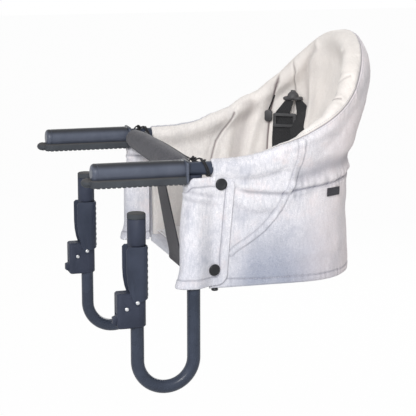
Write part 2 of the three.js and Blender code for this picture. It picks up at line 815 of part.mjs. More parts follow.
function flapSnap(x, z) {
  const step = SNAP_D / 2;
  const slopeX = (flapOut(x + step, z) - flapOut(x - step, z)) / (2 * step);
  const slopeZ = (flapOut(x, z + step) - flapOut(x, z - step)) / (2 * step);
  const normal = vec(-slopeX, 1, -slopeZ).normalize();
  const middle = vec(x, flapOut(x, z), z);
  const heights = [-step, 0, step].map((dx) => vec(dx, flapOut(x + dx, z) - middle.y, 0).dot(normal));
  const at = middle.addScaledVector(normal, Math.max(...heights) + FLAP_T / 2 + CLEARANCE);
  const turn = new THREE.Quaternion().setFromUnitVectors(vec(0, 0, 1), normal);
  return snap(SNAP_D).applyQuaternion(turn).translate(at.x, at.y, at.z);
}

// Under the front corner of the wall, y > 0 side.
function hemSnap() {
  return snap(HEM_SNAP_D).rotateX(Math.PI).translate(HEM_SNAP_X, BASE_HALF, BASE_Z - CLEARANCE);
}

// Flat on the outside of the wall, y > 0 side.
function sideTag() {
  const step = 0.02;
  const up = wall(TAG_ROUND, TAG_UP + step, 0).sub(wall(TAG_ROUND, TAG_UP - step, 0));
  const along = wall(TAG_ROUND + step, TAG_UP, 0).sub(wall(TAG_ROUND - step, TAG_UP, 0)).setZ(0).normalize();
  const normal = up.cross(along).normalize();
  const facing = new THREE.Matrix4().makeBasis(along, normal.clone().cross(along), normal);
  facing.setPosition(wall(TAG_ROUND, TAG_UP, WALL_T / 2).addScaledVector(normal, CLEARANCE));
  return new THREE.BoxGeometry(TAG_W, TAG_H, TAG_T).translate(0, 0, TAG_T / 2).applyMatrix4(facing);
}

// From under the base, round its front edge and up to the roll.
function crotchStrap() {
  const bend = BASE_EDGE_R + CLEARANCE + CROTCH_T / 2;
  const bendX = BASE_FRONT_X + BASE_EDGE_R;
  const bendZ = BASE_Z + BASE_LIFT + BASE_EDGE_R;
  const route = [vec(bendX + CROTCH_RUN, 0, bendZ - bend)];
  for (let i = 0; i <= 4; i += 1) {
    const angle = ((i / 4) * Math.PI) / 2;
    route.push(vec(bendX - bend * Math.sin(angle), 0, bendZ - bend * Math.cos(angle)));
  }
  const foot = vec(bendX - bend, 0, BASE_Z + BASE_LIFT + BASE_T);
  const head = vec(ROLL_X, 0, ROLL_Z - ROLL_MID_R - CLEARANCE);
  const rise = 6;
  for (let i = 0; i <= rise; i += 1) route.push(foot.clone().lerp(head, i / rise));
  const stations = route.map((at) => ({
    at,
    across: vec(0, 1, 0),
    width: mix(CROTCH_W, CROTCH_TOP_W, ease((at.z - foot.z) / (head.z - foot.z))),
  }));
  return strap(stations, CROTCH_T);
}

// Cords

function leastGap(points, skip) {
  let least = Infinity;
  points.forEach((p, i) => {
    for (let k = i + skip; k < points.length; k += 1) least = Math.min(least, p.distanceTo(points[k]));
  });
  return least - CORD_D;
}

// Wound round the arm, leaning forward, in front of the rim, with both ends run out straight.
function cordWinding() {
  const radius = boreRadius(TUBE_R, TUBE_SIDES) + CORD_R;
  const pitch = CORD_D + WINDING_GAP;
  const steps = WINDING_TURNS * WINDING_STEPS;
  const endX = SHELL_FRONT_X - CLEARANCE - CORD_R - WINDING_LEAN;
  const points = [];
  for (let i = 0; i <= steps; i += 1) {
    const angle = (i / WINDING_STEPS) * 2 * Math.PI;
    const x = endX - (WINDING_TURNS - i / WINDING_STEPS) * pitch;
    const lean = WINDING_LEAN * Math.cos(angle);
    points.push(vec(x - lean, radius * Math.sin(angle), ARM_AXIS_Z + radius * Math.cos(angle)));
  }
  const first = points[0].clone().sub(points[1]).setLength(CORD_D);
  const final = points[steps].clone().sub(points[steps - 1]).setLength(CORD_D);
  points.unshift(points[0].clone().add(first));
  points.push(points[points.length - 1].clone().add(final));
  console.log(`cord winding: least gap to itself ${leastGap(points, WINDING_STEPS / 2).toFixed(2)} mm`);
  return sweep(points, CORD_R, CORD_SIDES);
}

// On top of the arm's inner side; built for the y > 0 side.
function cordKnot() {
  const angle = THREE.MathUtils.degToRad(KNOT_ANGLE);
  const reach = TUBE_R + CLEARANCE + KNOT_R;
  const knot = new THREE.SphereGeometry(KNOT_R, 10, 7).scale(KNOT_STRETCH, 1, 1);
  return knot.translate(KNOT_X, -reach * Math.cos(angle), ARM_AXIS_Z + reach * Math.sin(angle));
}

function bumperCord() {
  const right = BUMPER_CORD_HALF.map(([x, inset, z]) => vec(x, HALF_SPAN - inset, z));
  const left = right.map((p) => vec(p.x, -p.y, p.z));
  const route = new THREE.CatmullRomCurve3([...left, vec(...BUMPER_CORD_MIDDLE), ...right.reverse()]);
  return sweep(route.getSpacedPoints(16), CORD_R, CORD_SIDES);
}

// Harness, y > 0 side

// From x, a share of the seat's half width at that height, and z.
function inSeat([x, share, z]) {
  const up = THREE.MathUtils.clamp((z - BASE_Z) / (ARM_AXIS_Z - BASE_Z), 0, 1);
  return vec(x, share * mix(BASE_HALF, HALF_SPAN, up), z);
}

const harnessAngle = THREE.MathUtils.degToRad(HARNESS_TURN);
const shoulderAngle = THREE.MathUtils.degToRad(SHOULDER_TURN);
const harnessAcross = vec(Math.cos(harnessAngle), -Math.sin(harnessAngle), 0);
const harnessFront = vec(-Math.sin(harnessAngle), -Math.cos(harnessAngle), 0);
const shoulderAcross = vec(Math.cos(shoulderAngle), -Math.sin(shoulderAngle), 0);

function lapStrap() {
  const topZ = inSeat(BUCKLE_AT).z;
  const stations = LAP_POINTS.map(inSeat).map((at) => ({
    at,
    across: harnessAcross,
    width: mix(LAP_W, LAP_TOP_W, ease((at.z - LAP_NARROW_Z) / (topZ - LAP_NARROW_Z))),
  }));
  return strap(stations, WEB_T);
}

function shoulderStrap() {
  const stations = SHOULDER_POINTS.map(inSeat).map((at, i) => ({
    at,
    across: shoulderAcross,
    width: i === 0 ? SHOULDER_TOP_W : WEB_W,
  }));
  return strap(stations, WEB_T);
}

// Turns a piece built with x across, y behind and z up to face the harness's front.
function inHarness(geometry, at) {
  return geometry.rotateZ(-harnessAngle).translate(at.x, at.y, at.z);
}

function adjuster() {
  const shape = roundedRectangle(ADJUSTER_W, ADJUSTER_H, ADJUSTER_CORNER_R);
  const windowW = ADJUSTER_W - 2 * ADJUSTER_BAR;
  const windowH = ADJUSTER_H - 2 * ADJUSTER_BAR;
  const inside = roundedRectangle(windowW, windowH, ADJUSTER_CORNER_R / 2);
  shape.holes.push(new THREE.Path(inside.getPoints(4)));
  const forward = WEB_T / 2 + ADJUSTER_T / 2 + CLEARANCE;
  return inHarness(extrudeY(shape, ADJUSTER_T), inSeat(ADJUSTER_AT).addScaledVector(harnessFront, forward));
}

// A bar with a dome on top.
function buckleHalf() {
  const foot = roundedRectangle(BUCKLE_W, BUCKLE_DEPTH, BUCKLE_CORNER_R);
  const bar = extrudeUp(foot, 0, BUCKLE_BASE_H, BUCKLE_EDGE_R);
  const rings = 3;
  const profile = [
    [0, BUCKLE_BASE_H / 2],
    [BUCKLE_DOME_R, BUCKLE_BASE_H / 2],
  ];
  for (let i = 0; i < rings; i += 1) {
    const angle = ((i / rings) * Math.PI) / 2;
    profile.push([BUCKLE_DOME_R * Math.cos(angle), BUCKLE_BASE_H + BUCKLE_DOME_H * Math.sin(angle)]);
  }
  profile.push([0, BUCKLE_BASE_H + BUCKLE_DOME_H]);
  return join([bar, turned(profile, 16)]);
}

const buttonBottom = () => BUCKLE_BASE_H + BUCKLE_DOME_H - BUTTON_H + BUTTON_PROUD;

// The half with a well for the push button in its dome.
function buckleBody() {
  const wellFrom = buttonBottom() - BUTTON_TRAVEL - CLEARANCE;
  const well = cylinderZ(boreRadius(BUTTON_R, ROUND_SIDES), wellFrom, 2 * BUCKLE_DOME_H, ROUND_SIDES);
  return inHarness(cut(buckleHalf(), [well]), inSeat(BUCKLE_AT));
}

function buckleTongue() {
  return inHarness(buckleHalf(), inSeat(BUCKLE_AT));
}

function buckleButton() {
  const z = buttonBottom();
  const profile = [
    [0, z],
    [BUTTON_R, z],
    [BUTTON_R, z + BUTTON_H - BUTTON_CHAMFER],
    [BUTTON_R - BUTTON_CHAMFER, z + BUTTON_H],
    [0, z + BUTTON_H],
  ];
  return inHarness(turned(profile, ROUND_SIDES), inSeat(BUCKLE_AT));
}

function harnessClip() {
  return inHarness(extrudeY(roundedRectangle(CLIP_W, CLIP_H, CLIP_CORNER_R), CLIP_T), inSeat(CLIP_AT));
}

function clipTether() {
  const route = new THREE.CatmullRomCurve3(TETHER_POINTS.map(inSeat));
  return sweep(route.getSpacedPoints(8), CORD_R, CORD_SIDES);
}

// Hook and clamp, built on the rear upright's axis and the front upright's axis

function hookTube() {
  const points = [vec(0, 0, uprightTop())];
  for (let i = 0; i <= HOOK_BEND_STEPS; i += 1) {
    const angle = (i / HOOK_BEND_STEPS) * Math.PI;
    points.push(vec(-HOOK_R + HOOK_R * Math.cos(angle), 0, BEND_Z - HOOK_R * Math.sin(angle)));
  }
  points.push(vec(-HOOK_PITCH, 0, BLOCK_TOP_Z + UPRIGHT_REACH));
  return sweep(points, TUBE_R, TUBE_SIDES, TUBE_R - TUBE_WALL);
}

// Side view of the pawl, z from the block's top: an eye, a nose to the upright and a tail to the tab.
function pawlShape(grow) {
  const eyeZ = -PAWL_BELOW;
  const noseX = -boreRadius(TUBE_R, TUBE_SIDES) - CLEARANCE + grow;
  const faceX = -BLOCK_REACH - CLEARANCE;
  const tabX = -BLOCK_REACH - TAB_OUT - grow;
  const tabTop = -TAB_BELOW + grow;
  const tabBottom = -TAB_BELOW - TAB_H - grow;
  const shape = new THREE.Shape();
  shape.moveTo(noseX, eyeZ - PAWL_NOSE - grow);
  shape.lineTo(noseX, eyeZ - PAWL_NOSE_TOP);
  shape.lineTo(PAWL_X, eyeZ + PAWL_EYE_R + grow);
  shape.lineTo(PAWL_X - PAWL_EYE_R - grow, eyeZ + grow);
  shape.lineTo(faceX, tabTop);
  shape.lineTo(tabX, tabTop - TAB_CHAMFER);
  shape.lineTo(tabX, tabBottom + TAB_CHAMFER);
  shape.lineTo(faceX, tabBottom);
  shape.lineTo(PAWL_X - PAWL_TAIL, (tabTop + tabBottom) / 2 - grow);
  return shape;
}

function pinHole(x, below) {
  const hole = cylinderY(boreRadius(RIVET_R, RIVET_SIDES), -FOOT_D, FOOT_D, RIVET_SIDES);
  return hole.translate(x, 0, -below);
}

function releasePawl() {
  return cut(extrudeY(pawlShape(0), 2 * PAWL_HALF_T), [pinHole(PAWL_X, PAWL_BELOW)]);
}

// The block round the upright, split along the upright's axis; side -1 is the y < 0 half.
function clampHalf(side) {
  const shape = new THREE.Shape();
  shape.absarc(0, 0, BLOCK_HALF_T, -Math.PI / 2, Math.PI / 2);
  const cornerX = -BLOCK_REACH + BLOCK_CORNER_R;
  const cornerY = BLOCK_HALF_T - BLOCK_CORNER_R;
  shape.absarc(cornerX, cornerY, BLOCK_CORNER_R, Math.PI / 2, Math.PI);
  shape.absarc(cornerX, -cornerY, BLOCK_CORNER_R, Math.PI, 1.5 * Math.PI);
  const block = extrudeUp(shape, -BLOCK_H, BLOCK_H, BLOCK_EDGE_R);
  const bore = cylinderZ(boreRadius(TUBE_R, TUBE_SIDES), -BLOCK_H - CLEARANCE, CLEARANCE);
  const room = extrudeY(pawlShape(PAWL_SWING), 2 * (PAWL_HALF_T + CLEARANCE));
  const far = 2 * BLOCK_H;
  const otherSide = boxBetween(vec(-far, -far, -far), vec(far, CLEARANCE / 2, far));
  if (side < 0) otherSide.rotateZ(Math.PI);
  const pins = [pinHole(PAWL_X, PAWL_BELOW), pinHole(PIVOT_X, PIVOT_BELOW)];
  return cut(block, [bore, room, ...pins, otherSide]);
}

// A collar over the upright's end, with the neck that stands on the block.
function footPost() {
  const bore = boreRadius(TUBE_R, TUBE_SIDES);
  const bottomZ = CLEARANCE;
  const footZ = NECK_H;
  const topZ = NECK_H + FOOT_H - FOOT_PAD_T - CLEARANCE;
  const profile = [
    [0, topZ - FOOT_CEILING],
    [bore, topZ - FOOT_CEILING],
    [bore, bottomZ],
    [NECK_D / 2, bottomZ],
    [NECK_D / 2, footZ],
    [FOOT_D / 2 - FOOT_EDGE, footZ],
    [FOOT_D / 2, footZ + FOOT_EDGE],
    [FOOT_D / 2, topZ],
    [0, topZ],
  ];
  return turned(profile, TUBE_SIDES);
}

function footPad() {
  const topZ = NECK_H + FOOT_H;
  const r = FOOT_D / 2;
  const profile = [
    [0, topZ - FOOT_PAD_T],
    [r, topZ - FOOT_PAD_T],
    [r, topZ - FOOT_PAD_EDGE],
    [r - FOOT_PAD_EDGE, topZ],
    [0, topZ],
  ];
  return turned(profile, ROUND_SIDES);
}

// Plan of a channel that is open in front and rounded behind.
function channelPlan(frontX, half, cornerR) {
  const shape = new THREE.Shape();
  shape.moveTo(frontX, -half);
  shape.lineTo(half - cornerR, -half);
  shape.absarc(half - cornerR, cornerR - half, cornerR, -Math.PI / 2, 0);
  shape.absarc(half - cornerR, half - cornerR, cornerR, 0, Math.PI / 2);
  shape.lineTo(frontX, half);
  return shape;
}

// A channel round the back of the block, leaf-shaped from the side and ribbed behind; z from the block's top.
function squeezeLever() {
  const topZ = LEVER_TOP_Z - BLOCK_TOP_Z;
  const spineBottom = -PIVOT_BELOW + LEVER_TIP_R;
  const bottomZ = -PIVOT_BELOW - LEVER_TIP_R;
  const outer = extrudeZ(channelPlan(-LEVER_REACH, LEVER_HALF_W, LEVER_CORNER_R), bottomZ, topZ);
  const hollow = channelPlan(-2 * LEVER_REACH, LEVER_HALF_W - LEVER_T, LEVER_CORNER_R - LEVER_T);
  const inner = extrudeZ(hollow, bottomZ - CLEARANCE, topZ + CLEARANCE);
  const leaf = new THREE.Shape();
  leaf.moveTo(-LEVER_REACH + LEVER_TOP_CHAMFER, topZ);
  leaf.lineTo(LEVER_HALF_W, topZ);
  leaf.lineTo(LEVER_HALF_W, spineBottom);
  leaf.absarc(PIVOT_X, -PIVOT_BELOW, LEVER_TIP_R, 0, -0.8 * Math.PI, true);
  leaf.quadraticCurveTo(-LEVER_REACH, LEVER_BELLY_LOW, -LEVER_REACH, LEVER_BELLY_HIGH);
  leaf.lineTo(-LEVER_REACH, topZ - LEVER_TOP_CHAMFER);
  const channel = common(cut(outer, [inner]), extrudeY(leaf, 3 * LEVER_HALF_W));
  const pitch = (topZ - spineBottom) / LEVER_RIBS;
  const ribHalf = LEVER_HALF_W - LEVER_CORNER_R;
  const ribs = [];
  for (let i = 0; i < LEVER_RIBS; i += 1) {
    const z = spineBottom + (i + 0.5) * pitch;
    const low = vec(LEVER_HALF_W - LEVER_T / 2, -ribHalf, z - LEVER_RIB_H / 2);
    ribs.push(boxBetween(low, vec(LEVER_HALF_W + LEVER_RIB_OUT, ribHalf, z + LEVER_RIB_H / 2)));
  }
  return cut(join([channel, ...ribs]), [pinHole(PIVOT_X, PIVOT_BELOW)]);
}

// A domed head outside and a short shank into the block's wall; side -1 is the y < 0 face.
function leverRivet(side) {
  const face = LEVER_HALF_W + CLEARANCE;
  const shank = face - (BLOCK_HALF_T - RIVET_STUB);
  const profile = [
    [0, -shank],
    [RIVET_R, -shank],
    [RIVET_R, 0],
    [RIVET_HEAD_R, 0],
    [RIVET_CROWN_R, RIVET_CROWN_H],
    [0, RIVET_HEAD_H],
  ];
  const rivet = turned(profile, RIVET_SIDES).rotateX(-Math.PI / 2).translate(0, face, 0);
  return mirrored(rivet, side).translate(PIVOT_X, 0, -PIVOT_BELOW);
}

// Right through both halves of the block, with a domed head on each face.
function pawlRivet() {
  const face = BLOCK_HALF_T + CLEARANCE;
  const profile = [
    [0, -face - RIVET_HEAD_H],
    [RIVET_CROWN_R, -face - RIVET_CROWN_H],
    [RIVET_HEAD_R, -face],
    [RIVET_R, -face],
    [RIVET_R, face],
    [RIVET_HEAD_R, face],
    [RIVET_CROWN_R, face + RIVET_CROWN_H],
    [0, face + RIVET_HEAD_H],
  ];
  return turned(profile, RIVET_SIDES).rotateX(-Math.PI / 2).translate(PAWL_X, 0, -PAWL_BELOW);
}

// Assembly

function piece(parent, name, geometry, material) {
  const ready = closed(geometry);
  ready.computeVertexNormals();
  const mesh = new THREE.Mesh(ready, material());
  mesh.name = name;
  parent.add(mesh);
}

function groupAt(parent, x, y, z) {
  const group = new THREE.Group();
  group.position.set(x, y, z);
  parent.add(group);
  return group;
}

const chair = new THREE.Group();
piece(chair, "hoop_tube", hoopTube(), paintedTube);
piece(chair, "cross_tube", crossTube(), paintedTube);
piece(chair, "bumper_roll", bumperRoll(), rollFabric);
piece(chair, "bumper_cord", bumperCord(), cordFabric);
piece(chair, "seat_shell", seatShell(), seatFabric);
piece(chair, "seat_base", seatBase(), seatFabric);
piece(chair, "seat_pad", seatPad(), seatFabric);
piece(chair, "crotch_strap", crotchStrap(), webbing);
piece(chair, "side_tag", mirrored(sideTag(), -1), webbing);
piece(chair, "right_clip", harnessClip(), mattePlastic);
piece(chair, "right_clip_tether", clipTether(), cordFabric);
piece(chair, "buckle_body", buckleBody(), mattePlastic);
piece(chair, "buckle_button", buckleButton(), mattePlastic);
piece(chair, "buckle_tongue", mirrored(buckleTongue(), -1), mattePlastic);

const sides = [
  ["left", -1],
  ["right", 1],
];
for (const [side, sign] of sides) {
  piece(chair, `${side}_lap_strap`, mirrored(lapStrap(), sign), webbing);
  piece(chair, `${side}_shoulder_strap`, mirrored(shoulderStrap(), sign), webbing);
  piece(chair, `${side}_adjuster`, mirrored(adjuster(), sign), mattePlastic);
  piece(chair, `${side}_hem_snap`, mirrored(hemSnap(), sign), snapPlastic);

  const arm = groupAt(chair, 0, sign * HALF_SPAN, 0);
  piece(arm, `${side}_arm_grip`, armGrip(), satinPlastic);
  piece(arm, `${side}_arm_pad`, armPad(), rubber);
  piece(arm, `${side}_arm_socket`, armSocket(), mattePlastic);
  piece(arm, `${side}_cord_winding`, mirrored(cordWinding(), sign), cordFabric);
  piece(arm, `${side}_cord_knot`, mirrored(cordKnot(), sign), cordFabric);
  piece(arm, `${side}_flap`, mirrored(flap(), sign), seatFabric);
  piece(arm, `${side}_upper_snap`, mirrored(flapSnap(UPPER_SNAP_X, UPPER_SNAP_Z), sign), snapPlastic);
  piece(arm, `${side}_lower_snap`, mirrored(flapSnap(LOWER_SNAP_X, LOWER_SNAP_Z), sign), snapPlastic);
  piece(arm, `${side}_hook_tube`, hookTube(), paintedTube);

  const clamp = groupAt(arm, -HOOK_PITCH, 0, BLOCK_TOP_Z);
  piece(clamp, `${side}_clamp_outer_half`, clampHalf(sign), mattePlastic);
  piece(clamp, `${side}_clamp_inner_half`, clampHalf(-sign), mattePlastic);
  piece(clamp, `${side}_foot_post`, footPost(), mattePlastic);
  piece(clamp, `${side}_foot_pad`, footPad(), rubber);
  piece(clamp, `${side}_lever`, squeezeLever(), satinPlastic);
  piece(clamp, `${side}_lever_outer_rivet`, leverRivet(sign), steel);
  piece(clamp, `${side}_lever_inner_rivet`, leverRivet(-sign), steel);
  piece(clamp, `${side}_pawl_rivet`, pawlRivet(), steel);
  piece(clamp, `${side}_release_pawl`, releasePawl(), mattePlastic);
}

export default chair;
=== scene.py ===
import math

import bmesh
import bpy
import numpy as np
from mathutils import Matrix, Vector


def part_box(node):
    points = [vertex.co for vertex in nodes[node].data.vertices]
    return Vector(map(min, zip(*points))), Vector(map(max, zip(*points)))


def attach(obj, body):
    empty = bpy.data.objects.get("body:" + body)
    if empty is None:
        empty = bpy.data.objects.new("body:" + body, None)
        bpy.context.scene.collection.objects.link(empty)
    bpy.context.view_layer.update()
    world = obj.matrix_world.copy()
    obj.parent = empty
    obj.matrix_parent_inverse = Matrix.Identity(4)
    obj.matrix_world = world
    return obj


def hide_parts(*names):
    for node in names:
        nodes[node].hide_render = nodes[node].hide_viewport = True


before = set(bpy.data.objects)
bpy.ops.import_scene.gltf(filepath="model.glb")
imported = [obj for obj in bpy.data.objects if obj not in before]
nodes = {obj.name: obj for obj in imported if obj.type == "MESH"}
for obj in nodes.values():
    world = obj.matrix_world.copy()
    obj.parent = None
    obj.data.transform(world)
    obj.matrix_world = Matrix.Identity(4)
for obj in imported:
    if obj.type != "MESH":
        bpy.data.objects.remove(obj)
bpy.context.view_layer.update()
scene = bpy.context.scene

MM = 0.001
SIDES = (("left", -1), ("right", 1))
CLEARANCE = 0.3
# A turned profile stops this far short of its axis
AXIS_R = 0.02
# Points nearer than this become one, in metres: in shapes made here, and in solids from CAD
MERGE = 2e-6
WELD = 1e-5

# Tubes, arms and hooks
TUBE_R = 9.5
HALF_SPAN = 170
ARM_AXIS_Z = 19.5
HOOP_FRONT_X = -137
HOOK_PITCH = 82
HOOK_R = 41
BEND_Z = -250.5
UPRIGHT_TOP_Z = 4
FRONT_UPRIGHT_TOP_Z = -103
GRIP_R = 13.25
GRIP_FRONT_X = -145
GRIP_REAR_X = -10.5
GRIP_DOME = 5
GRIP_CAP_LINE = 2.2
# The groove behind the grip's end cap: depth, and place along the grip
GRIP_GROOVE = [(0, 0), (0.5, 0.3), (0.5, 0.9), (0, 1.3)]
FLANGE_T = 4
FLANGE_EDGE = 1.2
FLANGE_CORNER = 5.5
PAD_W = 36

# Seat wall
RIM_TOP_Z = 180
RIM_LAG = 1.75
SIDE_SHARE = 0.35
RIM = dict(front=25, turn=130, back=288, half=170, square=2.3)
BASE = dict(front=25, turn=150, back=268, half=163, square=2.6)
BASE_Z = -155
WALL_T = 7
SIDE_BELLY = 3
BACK_BELLY = 27
BELLY_POWER = 4.3
BACK_WAIST = 20
BEAD_R = 12.6
SLEEVE_R = 9.45
EDGE_ROLL = 3.5

# Base, cushion and roll
BASE_FRONT_X = 21
BASE_BOTTOM_Z = -154
BASE_T = 12
BASE_EDGE = 3.5
BASE_WELT = 1.2
CUSHION_Z = -141.7
CUSHION_T = 12
CUSHION_CROWN = 4.9
CUSHION_FRONT_X = 32
CUSHION_INSET = 7.5
CUSHION_EDGE = 5
PIPING_R = 1.3
PIPING_OUT = 1.2
ROLL_X = -8
ROLL_Z = 17
ROLL_HALF_LENGTH = 150
ROLL_END_R = 14.3
ROLL_MID_R = 17.2

# Cloth simulation of the cushion, in metres and kilograms
CLOTH_VOXEL = 0.005
CLOTH_QUALITY = 5
CLOTH_MASS = 0.3
CLOTH_PRESSURE = 4.0
CLOTH_FRAMES = 20
CLOTH_SWELL = 0.005

# Flaps
FLAP_T = 2.2
FLAP_R = 13.45
FLAP_TOP_Z = 0
FLAP_BOTTOM_Z = -150
FLAP_RISE = 6
FLAP_TUCK = 8
FLAP_HEM_X = 58
FLAP_HEM_TAPER = 8
FLAP_LAND_X = 30
FLAP_TOP_CORNER = 12
FLAP_BOTTOM_CORNER = 18
FLAP_INNER_X = 18
FLAP_WAIST = 6
FLAP_FLARE = 6
FLAP_BAND = 12.5
FLAP_STITCH = 1.6

# Cords
CORD_R = 1.1
WINDING_R = 11.15
WINDING_TURNS = 2
WINDING_PITCH = 2.7
WINDING_LEAN = 3.5
WINDING_END_X = 20.1
BUMPER_CORD = [(12, -154, 25.5), (10, -146, 26), (7.8, -100, 25.9), (8.9, 0, 26.5)]
KNOT_AT = (3, 161.2, 30.8)
KNOT_SIZE = (2.175, 1.45, 1.45)
KNOT_OPEN = 0.35
KNOT_START = [(-4, 163, 29.6), (-0.5, 162.5, 33.2)]
KNOT_END = [(9, 163.6, 32.2), (13.5, 167.5, 31.9)]
KNOT_CORD_R = 1.045

# Crotch strap
WEB_T = 2
CROTCH_BEND = 2.5
CROTCH_UNDER = (42, 20)
CROTCH_LOW_W = 76
CROTCH_TOP_W = 56

# Harness, y > 0 side: name, turn, route, widths along it, and what is added on one side
HARNESS = [
    (
        "lap", math.radians(32),
        [
            (234, 107, -128.2), (232, 110, -60), (230, 113, 0), (231, 114, 25), (233, 114.5, 45),
            (235, 114.4, 53), (240, 113.5, 72.7),
        ],
        [38, 38, 38, 38, 38, 11, 12.5], [0, 0, 0, 0, 0, 10, 0],
    ),
    (
        "shoulder", math.radians(50),
        [
            (252, 109.5, 72.7), (257.3, 99, 54), (254, 82, 34), (247, 68, 0), (244, 58, -55),
            (242, 54, -126.9),
        ],
        [10, 25, 27, 26, 25, 25], [0, 0, 12, 6, 0, 0],
    ),
]
TETHER_POINTS = [(223.4, 138.8, 78.5), (221, 140.6, 72.5), (217.5, 142.4, 63), (214.5, 143, 54.6)]


# Numbers

def ease(t):
    t = np.clip(t, 0, 1)
    return t * t * (3 - 2 * t)


def mix(a, b, t):
    return a + (b - a) * t


def hump(distance, width):
    return np.exp(-((distance / width) ** 2))


def unit(v):
    return v / np.maximum(np.linalg.norm(v, axis=-1, keepdims=True), 1e-9)


def pack(*parts):
    """Points out of their coordinates, each a number or an array."""
    return np.stack(np.broadcast_arrays(*parts), -1)


def circle(count):
    return np.linspace(0, 2 * math.pi, count, endpoint=False)


def facing(p):
    """Unit normals over points p[row, column]."""
    return unit(np.cross(np.gradient(p, axis=1), np.gradient(p, axis=0)))


def lengths(points):
    """Distance along a polyline at each of its points."""
    return np.concatenate([[0], np.cumsum(np.linalg.norm(np.diff(points, axis=0), axis=1))])


def ripple(s, h, size, seed):
    """Soft seeded unevenness over a surface, about -1 to 1, with lumps of that size."""
    rng = np.random.default_rng(seed)
    total = np.zeros(np.broadcast(s, h).shape)
    for _ in range(9):
        angle, phase = rng.uniform(0, 2 * math.pi, 2)
        pace = 2 * math.pi / (size * rng.uniform(0.7, 2.2))
        total += np.sin(pace * (s * math.cos(angle) + h * math.sin(angle)) + phase)
    return total / 4.5


def along(points, count):
    """That many evenly spaced points on a smooth curve through the given ones."""
    p = np.asarray(points, float)
    p = np.vstack([2 * p[0] - p[1], p, 2 * p[-1] - p[-2]])
    fine = []
    for i in range(1, len(p) - 2):
        a, b, c, d = p[i - 1 : i + 3]
        for t in np.linspace(0, 1, 40, endpoint=False):
            bend = (2 * a - 5 * b + 4 * c - d) * t**2 + (3 * b - a - 3 * c + d) * t**3
            fine.append(0.5 * (2 * b + (c - a) * t + bend))
    fine.append(p[-2])
    fine = np.array(fine)
    reach = lengths(fine)
    at = np.linspace(0, reach[-1], count)
    return np.stack([np.interp(at, reach, fine[:, k]) for k in range(fine.shape[1])], -1)


def smooth(values, reach):
    """Running mean over that many neighbours on each side."""
    count = 2 * reach + 1
    return np.convolve(np.pad(values, reach, "edge"), np.ones(count) / count, "valid")


def no_deeper(relief, depth):
    """The relief with its hollows held above that depth."""
    return np.where(relief < 0, depth * np.tanh(relief / depth), relief)


def line_distance(s, h, line):
    """Signed distance of each (s, h) from a polyline: above zero to the left of its direction."""
    best = np.full(s.shape, 1e9)
    sign = np.ones(s.shape)
    for a, b in zip(line[:-1], line[1:]):
        d = b - a
        t = np.clip(((s - a[0]) * d[0] + (h - a[1]) * d[1]) / max(d @ d, 1e-9), 0, 1)
        ds, dh = s - a[0] - t * d[0], h - a[1] - t * d[1]
        gap = np.hypot(ds, dh)
        nearer = gap < best
        best = np.where(nearer, gap, best)
        sign = np.where(nearer, np.sign(d[0] * dh - d[1] * ds + 1e-12), sign)
    return best * sign


# Meshes

class Build:
    """Collects grids and faces of one piece, with UVs in metres, a material number and the painted shade of
    its creases at each point.
    """

    def __init__(self):
        self.points = []
        self.faces = []
        self.uvs = []
        self.kinds = []
        self.tones = []
        self.count = 0

    def put(self, points, faces, uvs, kind=0, tone=0.0):
        points = np.asarray(points, float)
        self.faces += [[k + self.count for k in face] for face in np.asarray(faces, int).tolist()]
        self.uvs.append(np.asarray(uvs, float).reshape(-1, 2) * MM)
        self.kinds.append(np.broadcast_to(kind, len(faces)))
        self.tones.append(np.broadcast_to(tone, len(points)))
        self.points.append(points)
        self.count += len(points)
        return self

    def grid(self, p, wrap_rows=False, wrap_cols=False, uv=None, kind=0, tone=0.0):
        """Quads over points p[row, column]; a wrapped direction closes on itself."""
        rows, cols = p.shape[:2]
        if uv is None:
            uv = surface_uv(p, wrap_rows, wrap_cols)
        down = np.arange(rows if wrap_rows else rows - 1)
        across = np.arange(cols if wrap_cols else cols - 1)
        i, j = np.meshgrid(down, across, indexing="ij")
        i2, j2 = (i + 1) % rows, (j + 1) % cols
        quads = np.stack([i * cols + j, i * cols + j2, i2 * cols + j2, i2 * cols + j], -1).reshape(-1, 4)
        loops = np.stack([uv[i, j], uv[i, j + 1], uv[i + 1, j + 1], uv[i + 1, j]], -2)
        kind = np.broadcast_to(kind, i.shape).ravel()
        tone = np.broadcast_to(tone, p.shape[:2]).ravel()
        return self.put(p.reshape(-1, 3), quads, loops, kind, tone)

    def cap(self, ring):
        """One flat face over a closed ring."""
        ring = np.asarray(ring, float)
        spread = ring - ring.mean(0)
        axes = np.argsort(-np.ptp(ring, axis=0))[:2]
        return self.put(ring, [list(range(len(ring)))], spread[:, axes])

    def spool(self, rings, **settings):
        """Rings joined into a sleeve, with a flat cap at each end."""
        return self.grid(rings, wrap_cols=True, **settings).cap(rings[0]).cap(rings[-1])

    def ladder(self, ring):
        """Rungs across a flat closed ring whose two halves mirror each other."""
        half = len(ring) // 2
        if len(ring) % 2:
            self.cap(ring[half - 1 : half + 2])
        return self.grid(np.stack([ring[:half], ring[::-1][:half]], 1))

    def piece(self, name, materials, body, slot, stands_for=(), sharp=40):
        mesh = bpy.data.meshes.new(name)
        mesh.from_pydata((np.vstack(self.points) * MM).tolist(), [], self.faces)
        layer = mesh.uv_layers.new(name="UVMap")
        layer.data.foreach_set("uv", np.vstack(self.uvs).astype(np.float32).ravel())
        mesh.polygons.foreach_set("material_index", np.concatenate(self.kinds).astype(np.int32))
        # Painted shade of creases, folds and seam grooves, kept at each point
        tone = mesh.attributes.new("crease_shade", "FLOAT", "POINT")
        tone.data.foreach_set("value", np.concatenate(self.tones).astype(np.float32))
        tidy(mesh)
        shade(mesh, sharp)
        return keep(name, mesh, materials, body, stands_for)


